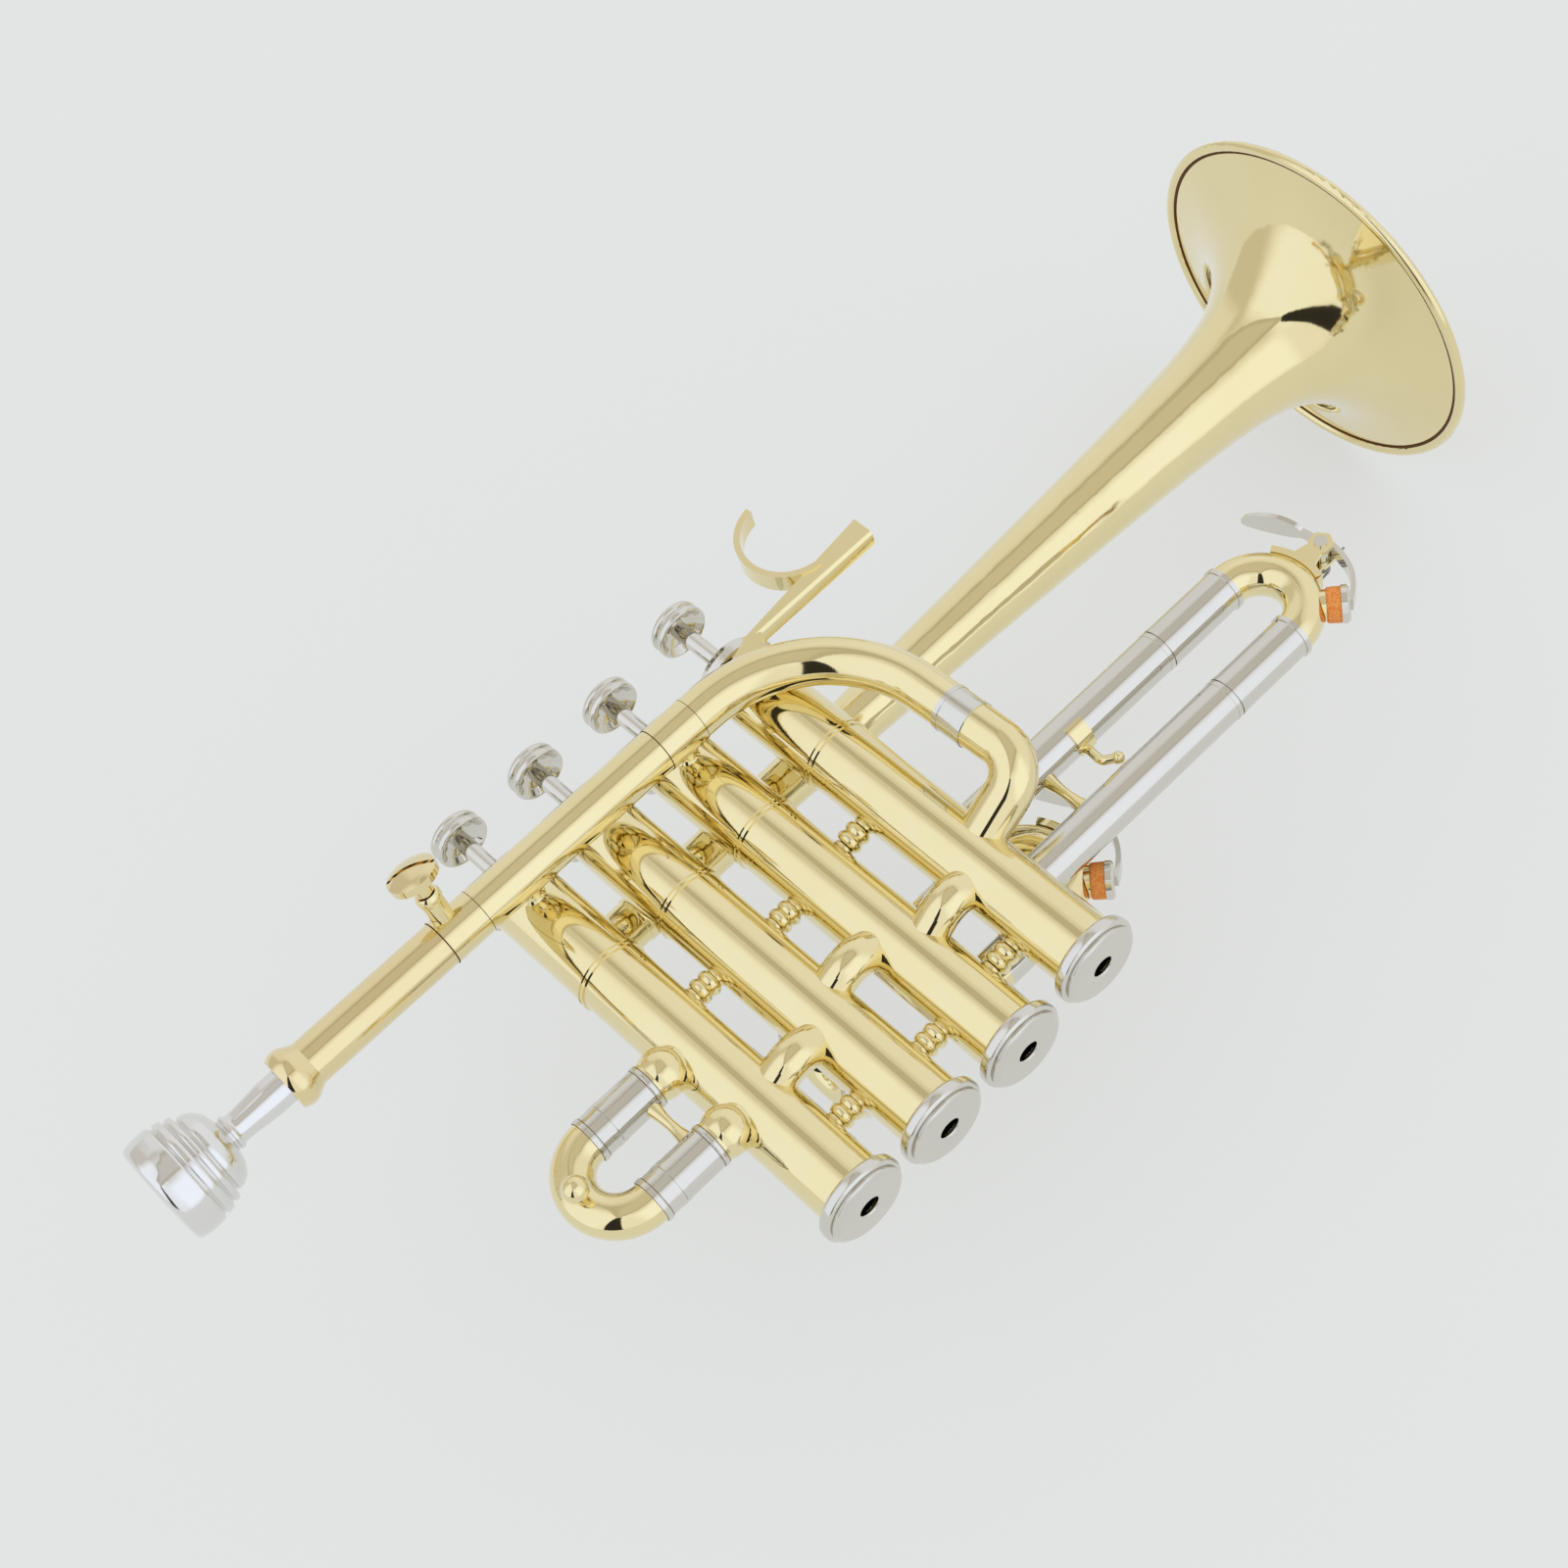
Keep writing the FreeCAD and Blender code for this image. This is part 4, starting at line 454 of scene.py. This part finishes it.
@dataclass
class ValveBlock:
    """The row of four valves: bottom caps, buttons, felts and the posts between the casings."""

    pitch: float = 24.4
    fourth_x: float = 73.0
    fourth_z: float = 4.8
    casing_radius: float = 9.0
    button_base: float = 138.2
    felt_low: float = 122.1
    felt_high: float = 124.0
    felt_radius: float = 3.9
    stem_radius: float = 2.25
    post_heights: tuple[tuple[float, float], ...] = ((66.2, 20.0), (65.5, 18.4), (67.1, 19.7))
    post_split: float = 50.0
    foot_radius: float = 2.6
    foot_sunk: float = 0.5
    foot_edge: float = 0.45
    neck_radius: float = 1.5
    neck_start: float = 0.6
    pearl: Outline = ((1.6, 2.75), (2.9, 2.6), (3.45, 1.35), (2.9, 0.15))
    waist_radius: float = 2.4
    cap_outline: Outline = (
        (2.65, 1.2), (2.65, 0.35), (3.0, 0.0), (8.9, 0.0), (10.1, 0.75), (10.15, 1.15), (9.7, 1.3),
        (9.7, 1.5), (10.6, 1.6), (11.15, 2.2), (11.2, 3.1), (11.15, 4.1), (10.6, 4.75), (9.4, 4.9),
        (9.35, 5.2), (8.6, 5.2), (8.6, 1.2))
    button_outline: Outline = (
        (0.0, 2.9), (2.1, 2.9), (3.2, 2.7), (5.0, 1.7), (6.3, 0.35), (6.7, 0.0), (7.05, 0.3), (7.2, 1.1),
        (7.1, 1.9), (6.55, 2.3), (6.5, 2.55), (6.95, 2.85), (7.1, 3.5), (6.9, 4.2), (6.0, 4.75), (4.0, 5.2),
        (0.0, 5.4))

    def axis_point(self, index: int) -> Array:
        """A valve's axis at the height of the bottom caps' faces.

        Args:
            index: the valve's number from zero; the fourth stands further off and higher than the row.

        Returns:
            The point in the frame.
        """
        if index == 3:
            return layout(self.fourth_x, 0, self.fourth_z)
        return layout(index * self.pitch, 0, 0)

    def build(self, finishes: Finishes) -> list[bpy.types.Object]:
        """Builds the caps, buttons, felts and posts.

        Args:
            finishes: the instrument's finishes.

        Returns:
            The new pieces.
        """
        pieces = []
        up = Axis.Y.vector()
        for index in range(4):
            base = self.axis_point(index)
            cap = turned_piece(f"valve_{index + 1}_bottom_cap", self.cap_outline, base, up, 0.25, 128)
            pieces.append(finish_piece(cap, finishes.nickel, "horn"))
            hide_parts("valve_bottom_caps")
            button = turned_piece(f"valve_{index + 1}_dished_button", self.button_outline,
                                  base + up * self.button_base * MM, up, 0.35)
            pieces.append(finish_piece(button, finishes.nickel, f"valve_{index + 1}"))
            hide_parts(f"valve_{index + 1}_button")
            pieces.append(self.felt(index, base, finishes))
        for gap, heights in enumerate(self.post_heights):
            pieces += [self.post(gap, height, finishes) for height in heights]
        return pieces

    def post(self, gap: int, height: float, finishes: Finishes) -> bpy.types.Object:
        """A turned post from casing to casing: a foot at each end and two pearls side by side.

        Its outline is one half, read outwards from the middle, and the same half mirrored.

        Args:
            gap: the number of the valve before it, from zero.
            height: its height along the casings.
            finishes: the instrument's finishes.

        Returns:
            The post.
        """
        start = self.axis_point(gap)
        along = self.axis_point(gap + 1) - start
        span = np.linalg.norm(along)
        middle = span / MM / 2
        reach = middle - self.casing_radius
        half = ((0.0, reach + self.foot_sunk), (self.foot_radius, reach + self.foot_sunk),
                (self.foot_radius, reach - self.foot_edge), (self.neck_radius, reach - self.neck_start),
                *self.pearl)
        outline = (*((radius, middle - away) for radius, away in half), (self.waist_radius, middle),
                   *((radius, middle + away) for radius, away in reversed(half)))
        level = "upper" if height > self.post_split else "lower"
        piece = turned_piece(f"post_{gap + 1}_{level}", outline, start + Axis.Y.vector() * height * MM,
                             along / span, 0.7, 64)
        finish_piece(piece, finishes.gold, "horn")
        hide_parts("valve_posts")
        return piece

    def felt(self, index: int, base: Array, finishes: Finishes) -> bpy.types.Object:
        """The washer round the stem on top of a cap, a ring with rounded edges.

        Args:
            index: the valve's number from zero.
            base: the valve's axis at height zero.
            finishes: the instrument's finishes.

        Returns:
            The washer.
        """
        outline = ((self.stem_radius, self.felt_low), (self.felt_radius, self.felt_low),
                   (self.felt_radius, self.felt_high), (self.stem_radius, self.felt_high))
        washer = turned_piece(f"valve_{index + 1}_felt", outline, base, Axis.Y.vector(), 0.6, 48)
        return finish_piece(washer, finishes.felt, "horn")


@dataclass
class ValveSprings:
    """The four valve springs, each standing on its guide. In the instrument each shortens as its piston goes
    down onto it; here each keeps the length it is imported with.
    """

    standing_end: float = 12.5
    travel: float = 14.5

    def build(self, finishes: Finishes) -> list[bpy.types.Object]:
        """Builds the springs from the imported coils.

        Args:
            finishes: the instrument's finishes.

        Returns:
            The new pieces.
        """
        pieces = []
        for number in range(1, 5):
            node = f"valve_{number}_spring"
            coil = bmesh.new()
            coil.from_mesh(frame["nodes"][node].data)
            bmesh.ops.remove_doubles(coil, verts=coil.verts, dist=SAME_POINT)
            mesh = bpy.data.meshes.new(f"valve_{number}_coil")
            coil.to_mesh(mesh)
            coil.free()
            piece = finish_piece(link_piece(mesh.name, mesh), finishes.wire, "horn")
            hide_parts(node)
            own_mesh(piece)
            pieces.append(piece)
        return pieces


@dataclass
class Mouthpiece:
    """The mouthpiece: a broad barrel-shaped rim, two bands cut off by grooves, a round bowl and a shank."""

    face_x: float = -106.4
    outline: Outline = (
        (3.4, 57.0), (2.4, 15.8), (2.4, 10.5), (5.0, 8.6), (7.2, 4.6), (8.0, 1.2), (8.9, 0.25), (10.6, 0.0),
        (12.2, 0.3), (12.9, 1.2), (13.25, 3.4), (13.3, 5.6), (13.1, 7.6), (12.2, 8.0), (12.1, 8.35),
        (12.7, 8.6), (12.75, 9.6), (12.4, 10.6), (11.4, 10.9), (11.35, 11.2), (11.9, 11.45), (11.9, 12.4),
        (11.5, 12.95), (10.0, 13.1), (9.95, 13.45), (10.5, 13.9), (10.3, 15.2), (9.2, 17.0), (7.2, 18.5),
        (5.4, 19.1), (4.1, 19.3), (3.9, 19.8), (4.4, 20.2), (4.4, 20.9), (3.8, 21.3), (3.6, 22.2),
        (3.9, 26.0), (4.38, 31.0), (4.38, 57.0))

    def build(self, finishes: Finishes) -> list[bpy.types.Object]:
        """Turns the mouthpiece.

        Args:
            finishes: the instrument's finishes.

        Returns:
            The one new piece.
        """
        base = layout(self.face_x, LEAD_Y, LEAD_Z)
        piece = turned_piece("turned_mouthpiece", self.outline, base, Axis.X.vector(), 0.5, 160)
        finish_piece(piece, finishes.silver, "mouthpiece")
        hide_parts("mouthpiece")
        return [piece]


@dataclass(frozen=True)
class Ring:
    """A ring round a tube that runs along the horn: its place, its outer radius and its width."""

    name: str
    place: tuple[float, float, float]
    radius: float
    width: float
    body: str = "horn"


@dataclass
class TubeRings:
    """The turned rings at the ends of the first slide's tubes and the dark lines of painted shade where two
    tubes meet.

    A joint line is a dull dark brown thread of painted shade that stands in the joint, a fifth of a
    millimetre wide.
    """

    slide_radius: float = 5.4
    leg_heights: tuple[float, float] = (34.05, 54.95)
    slide_z: float = 5.2
    slide_ends: tuple[tuple[str, float, str], ...] = (("elbow", -14.3, "horn"), ("bow", -31.1, "slide_1"))
    ring_proud: float = 0.3
    ring_width: float = 1.1
    line_sides: tuple[tuple[str, float], ...] = (("near", -0.75), ("far", 0.75))
    line_width: float = 0.22
    line_proud: float = 0.05
    ring_depth: float = 0.6
    # These lines, and the lines beside the slide rings, are painted shade: dark brown threads where a joint's
    # shadow falls.
    seams: tuple[Ring, ...] = (
        Ring("clamp_seam_line", (-24.05, LEAD_Y, LEAD_Z), 5.82, 0.35),
        Ring("collar_end_line", (-13.2, LEAD_Y, LEAD_Z), 5.75, 0.22),
        Ring("lead_ferrule_near_line", (42.2, LEAD_Y, LEAD_Z), 5.78, 0.3),
        Ring("lead_ferrule_far_line", (53.2, LEAD_Y, LEAD_Z), 5.75, 0.2),
        Ring("bell_roll_line", (255.35, 101.1, -17.0), 46.95, 0.5),
    )

    def build(self, finishes: Finishes) -> list[bpy.types.Object]:
        """Builds the rings, each with a joint line at both sides, and the other joint lines.

        Args:
            finishes: the instrument's finishes.

        Returns:
            The new pieces.
        """
        rings = []
        lines = []
        for number, y in enumerate(self.leg_heights, start=1):
            for end, x, body in self.slide_ends:
                rings.append(Ring(f"slide_1_{end}_ring_{number}", (x, y, self.slide_z),
                                  self.slide_radius + self.ring_proud, self.ring_width, body))
                lines += [Ring(f"slide_1_{end}_line_{number}_{side}", (x + away, y, self.slide_z),
                               self.slide_radius, self.line_width, body) for side, away in self.line_sides]
        pieces = [self.ring(ring, finishes.nickel, "nickel_plate", 0.0) for ring in rings]
        # Each joint line is painted shade, a dark brown thread where the joint's shadow falls.
        return pieces + [self.ring(line, finishes.seam, "gold_lacquered_brass", self.line_proud)
                         for line in (*lines, *self.seams)]

    def ring(self, ring: Ring, material: bpy.types.Material, slot: str, proud: float) -> bpy.types.Object:
        """Makes one ring, with its inside sunk below the tube's surface.

        Args:
            ring: its place and size.
            material: its finish.
            slot: the record's material slot; not used.
            proud: how far it stands above its stated radius.

        Returns:
            The ring.
        """
        outer = ring.radius + proud
        inner = outer - self.ring_depth
        half = ring.width / 2
        outline = ((inner, -half), (outer, -half), (outer, half), (inner, half))
        piece = turned_piece(ring.name, outline, layout(*ring.place), Axis.X.vector(), 0.25, 96)
        return finish_piece(piece, material, ring.body)


@dataclass
class KeyCorks:
    """The swollen edges of the water keys' corks, which cup their nipples after years of pressing."""

    bows: tuple[tuple[int, tuple[float, float, float]], ...] = (
        (3, (81.4, 35.1, -10.8)), (4, (167.0, 39.2, 0.0)))
    turn_deg: float = -45.0
    reach: float = 16.95
    outline: Outline = ((3.85, -1.5), (4.25, -1.2), (4.35, 1.6), (4.05, 3.3), (3.85, 3.3))

    def build(self, finishes: Finishes) -> list[bpy.types.Object]:
        """Builds the edge of each cork, on the line from its bow's centre that the nipple stands on.

        Args:
            finishes: the instrument's finishes.

        Returns:
            The new pieces.
        """
        turn = math.radians(self.turn_deg)
        along = np.array([math.cos(turn), math.sin(turn), 0.0])
        pieces = []
        for number, centre in self.bows:
            base = layout(*centre) + along * self.reach * MM
            edge = turned_piece(f"key_{number}_cork_edge", self.outline, base, along, 0.5, 64)
            pieces.append(finish_piece(edge, finishes.cork, f"key_{number}"))
        return pieces


@dataclass(frozen=True)
class TentPanel:
    """One wall of the studio's white tent, seen as a soft-edged window of directions.

    A direction d is inside where its two slopes, d . side / d . face and d . rise / d . face, lie between
    the panel's limits. The left limit may lean, the window may narrow with height, its left and lower edges
    are as wide as soft and its right and upper ones as wide as fade.
    """

    azimuth: float
    elevation: float
    level: float
    left: float
    right: float
    low: float
    high: float
    soft: float = 0.08
    fade: float = 0.08
    lean: float = 0.0
    taper: float = 0.0

    def mask(self, tree: bpy.types.NodeTree, direction: Socket) -> Socket:
        """How far a direction is inside the panel, from 0 to 1.

        Args:
            tree: the world's node tree.
            direction: the direction looked in.

        Returns:
            The mask.
        """
        a = math.radians(self.azimuth)
        e = math.radians(self.elevation)
        axes = {
            "face": (math.cos(a) * math.cos(e), math.sin(a) * math.cos(e), math.sin(e)),
            "side": (-math.sin(a), math.cos(a), 0.0),
            "rise": (-math.cos(a) * math.sin(e), -math.sin(a) * math.sin(e), math.cos(e)),
        }
        value = {name: add_node(tree, "ShaderNodeVectorMath", {"operation": "DOT_PRODUCT"}, {
            0: direction, 1: axis}).outputs["Value"] for name, axis in axes.items()}
        for name, operation, first, second in (
                ("near", "MAXIMUM", "face", 0.001),
                ("across", "DIVIDE", "side", "near"),
                ("height", "DIVIDE", "rise", "near"),
                ("narrow", "MULTIPLY", "height", self.taper),
                ("slant", "MULTIPLY", "height", self.lean),
                ("upright", "SUBTRACT", "across", "slant"),
                ("left", "SUBTRACT", "upright", "narrow"),
                ("right", "ADD", "across", "narrow")):
            value[name] = add_node(tree, "ShaderNodeMath", {"operation": operation}, {
                0: value[first], 1: value.get(second, second)}).outputs[0]
        inside: Socket | float = 1.0
        for name, start, end in (
                ("face", 0.0, 0.02),
                ("left", self.left, self.left + self.soft),
                ("right", self.right, self.right - self.fade),
                ("height", self.low, self.low + self.soft),
                ("height", self.high, self.high - self.fade)):
            step = add_node(tree, "ShaderNodeMapRange", {"interpolation_type": "SMOOTHSTEP"}, {
                "Value": value[name], "From Min": start, "From Max": end})
            inside = add_node(tree, "ShaderNodeMath", {"operation": "MULTIPLY"}, {
                0: inside, 1: step.outputs["Result"]}).outputs[0]
        return inside


@dataclass
class Studio:
    """The pale floor, the white tent and the camera."""

    floor_tone: str = "#F5F6F5"
    floor_roughness: float = 0.9
    floor_glow: str = "#E5E7E6"
    glow_share: float = 0.68
    floor_size: float = 6.0
    floor_gap: float = 0.0002
    tent_level: float = 0.76
    dim_tone: str = "#FFF9EE"
    dim_level: float = 0.6
    bright_tone: str = "#EFF4FF"
    bright_level: float = 1.15
    lens: float = 67.68
    sensor: float = 36.0
    near_clip: float = 0.01
    far_clip: float = 20.0
    distance: float = 0.6873
    azimuth: float = -27.62
    elevation: float = 56.59
    roll: float = -18.86
    target: tuple[float, float, float] = (61.0, 91.4, 0.0)
    # The walls, from the back to the front: azimuth, elevation, level, left, right, low, high, soft, fade.
    panels: tuple[TentPanel, ...] = (
        TentPanel(115, 25, 0.66, -0.7, 0.75, -0.7, 0.9, 0.3, 0.3),
        TentPanel(70, 20, 0.88, -0.75, 0.5, -0.6, 0.7, 0.3, 0.3),
        TentPanel(0, 35, 0.95, -1.6, 1.3, -0.9, 0.62, 0.5, 0.4),
        TentPanel(-125, 20, 1.0, -1.4, 1.4, -0.7, 1.0, 0.5, 0.4),
        TentPanel(170, 47, 1.12, -0.9, 0.9, -1.5, 0.85, 0.5, 0.5),
        TentPanel(-78, 30, 1.2, -0.7, 0.8, -0.75, 0.95, 0.35, 0.6),
        TentPanel(-90, 90, 0.55, -0.33, 0.56, -0.36, 0.46, 0.02, 0.05, lean=0.82),
        TentPanel(-90, 90, 0.55, -0.33, 0.42, 0.4, 0.64, 0.02, 0.05, lean=0.82),
        TentPanel(-90, 90, 0.65, -0.26, 0.52, -0.28, 0.43, 0.08, 0.08, lean=0.82),
        TentPanel(-148, 0, 0.03, -0.22, 0.22, -0.2, 1.6, 0.03, 0.03, taper=0.07),
    )

    def build(self) -> None:
        """Builds the floor, the world and the camera."""
        self.floor()
        self.world()
        self.camera()

    def floor(self) -> None:
        """A large pale plane just under the instrument."""
        x, y = np.meshgrid(*[np.linspace(-self.floor_size / 2, self.floor_size / 2, 2)] * 2)
        points = np.stack([x, y, np.full_like(x, -self.floor_gap)], axis=-1)
        plane = grid_piece("studio_floor", points, wrap_columns=False)
        material = bpy.data.materials.new("matt_pale_paper")
        material.use_nodes = True
        shader = material.node_tree.nodes["Principled BSDF"]
        shader.inputs["Base Color"].default_value = linear(self.floor_tone)
        shader.inputs["Roughness"].default_value = self.floor_roughness
        self.glow(material.node_tree, shader)
        plane.data.materials.append(material)

    def glow(self, tree: bpy.types.NodeTree, shader: bpy.types.Node) -> None:
        """Lets the paper keep its pale tone in the camera's eye and in the metal, with its shadow softened.

        Only rays from the camera, mirrors and glass meet the glow, so it puts no light on the instrument.

        Args:
            tree: the floor's node tree.
            shader: the floor's surface.
        """
        path = add_node(tree, "ShaderNodeLightPath").outputs
        seen = path["Is Camera Ray"]
        for ray in ("Is Glossy Ray", "Is Transmission Ray"):
            seen = add_node(tree, "ShaderNodeMath", {"operation": "MAXIMUM"}, {
                0: seen, 1: path[ray]}).outputs[0]
        share = add_node(tree, "ShaderNodeMath", {"operation": "MULTIPLY"}, {0: seen, 1: self.glow_share})
        light = add_node(tree, "ShaderNodeEmission", inputs={
            "Color": linear(self.floor_glow), "Strength": 1.0})
        mixed = add_node(tree, "ShaderNodeMixShader", inputs={
            "Fac": share.outputs[0], 1: shader.outputs["BSDF"], 2: light.outputs["Emission"]})
        tree.links.new(mixed.outputs["Shader"], tree.nodes["Material Output"].inputs["Surface"])

    def world(self) -> None:
        """A soft white tent: its walls differ in brightness, and one is open to a dark room.

        Each panel lies over those before it. Dim walls are a little warm and bright ones a little cool.
        """
        world = bpy.data.worlds.new("studio_tent")
        bpy.context.scene.world = world
        world.use_nodes = True
        tree = world.node_tree
        back = tree.nodes["Background"]
        direction = add_node(tree, "ShaderNodeTexCoord").outputs["Generated"]
        total: Socket | float = self.tent_level
        for panel in self.panels:
            total = add_node(tree, "ShaderNodeMix", inputs={
                "Factor": panel.mask(tree, direction), 2: total, 3: panel.level}).outputs[0]
        tree.links.new(total, back.inputs["Strength"])
        brightness = add_node(tree, "ShaderNodeMapRange", inputs={
            "Value": total, "From Min": self.dim_level, "From Max": self.bright_level}).outputs["Result"]
        tone = add_node(tree, "ShaderNodeMix", {"data_type": "RGBA"}, {
            "Factor": brightness, 6: linear(self.dim_tone), 7: linear(self.bright_tone)})
        tree.links.new(tone.outputs[2], back.inputs["Color"])

    def camera(self) -> None:
        """The camera at the photograph's place and angle.

        With azimuth a and elevation e, the way from the target back to the camera is the unit vector
        (sin a cos e, -cos a cos e, sin e), and the picture's right and up are turned about it by the roll.
        """
        a, e, turn = (math.radians(angle) for angle in (self.azimuth, self.elevation, self.roll))
        back = np.array([math.sin(a) * math.cos(e), -math.cos(a) * math.cos(e), math.sin(e)])
        right = np.cross(Axis.Z.vector(), back)
        right = right / np.linalg.norm(right)
        up = np.cross(back, right)
        placement = np.eye(4)
        placement[:3, 0] = math.cos(turn) * right + math.sin(turn) * up
        placement[:3, 1] = -math.sin(turn) * right + math.cos(turn) * up
        placement[:3, 2] = back
        placement[:3, 3] = layout(*self.target) + back * self.distance
        data = bpy.data.cameras.new("camera")
        data.lens = self.lens
        data.sensor_width = self.sensor
        data.clip_start = self.near_clip
        data.clip_end = self.far_clip
        camera = bpy.data.objects.new("camera", data)
        bpy.context.scene.collection.objects.link(camera)
        camera.matrix_world = Matrix(placement.tolist())
        bpy.context.scene.camera = camera
        bpy.context.scene.view_settings.view_transform = "Standard"


def dress_frame(finishes: Finishes) -> None:
    """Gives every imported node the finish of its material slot.

    Args:
        finishes: the instrument's finishes.
    """
    slots = {part["node"]: part["material_slot"] for part in frame["record"]["subparts"]}
    table = finishes.by_slot()
    for node, piece in frame["nodes"].items():
        piece.data.materials.clear()
        piece.data.materials.append(table[slots[node]])


def main() -> None:
    """Builds the instrument's pieces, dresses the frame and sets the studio."""
    logging.basicConfig(level=logging.INFO)
    finishes = Finishes()
    dress_frame(finishes)
    LOG.info("dressed %d nodes", len(frame["nodes"]))
    for group in (ValveBlock(), ValveSprings(), Mouthpiece(), TubeRings(), KeyCorks()):
        pieces = group.build(finishes)
        LOG.info("%s: %s", type(group).__name__, ", ".join(piece.name for piece in pieces))
    Studio().build()


if __name__ == "__main__":
    main()
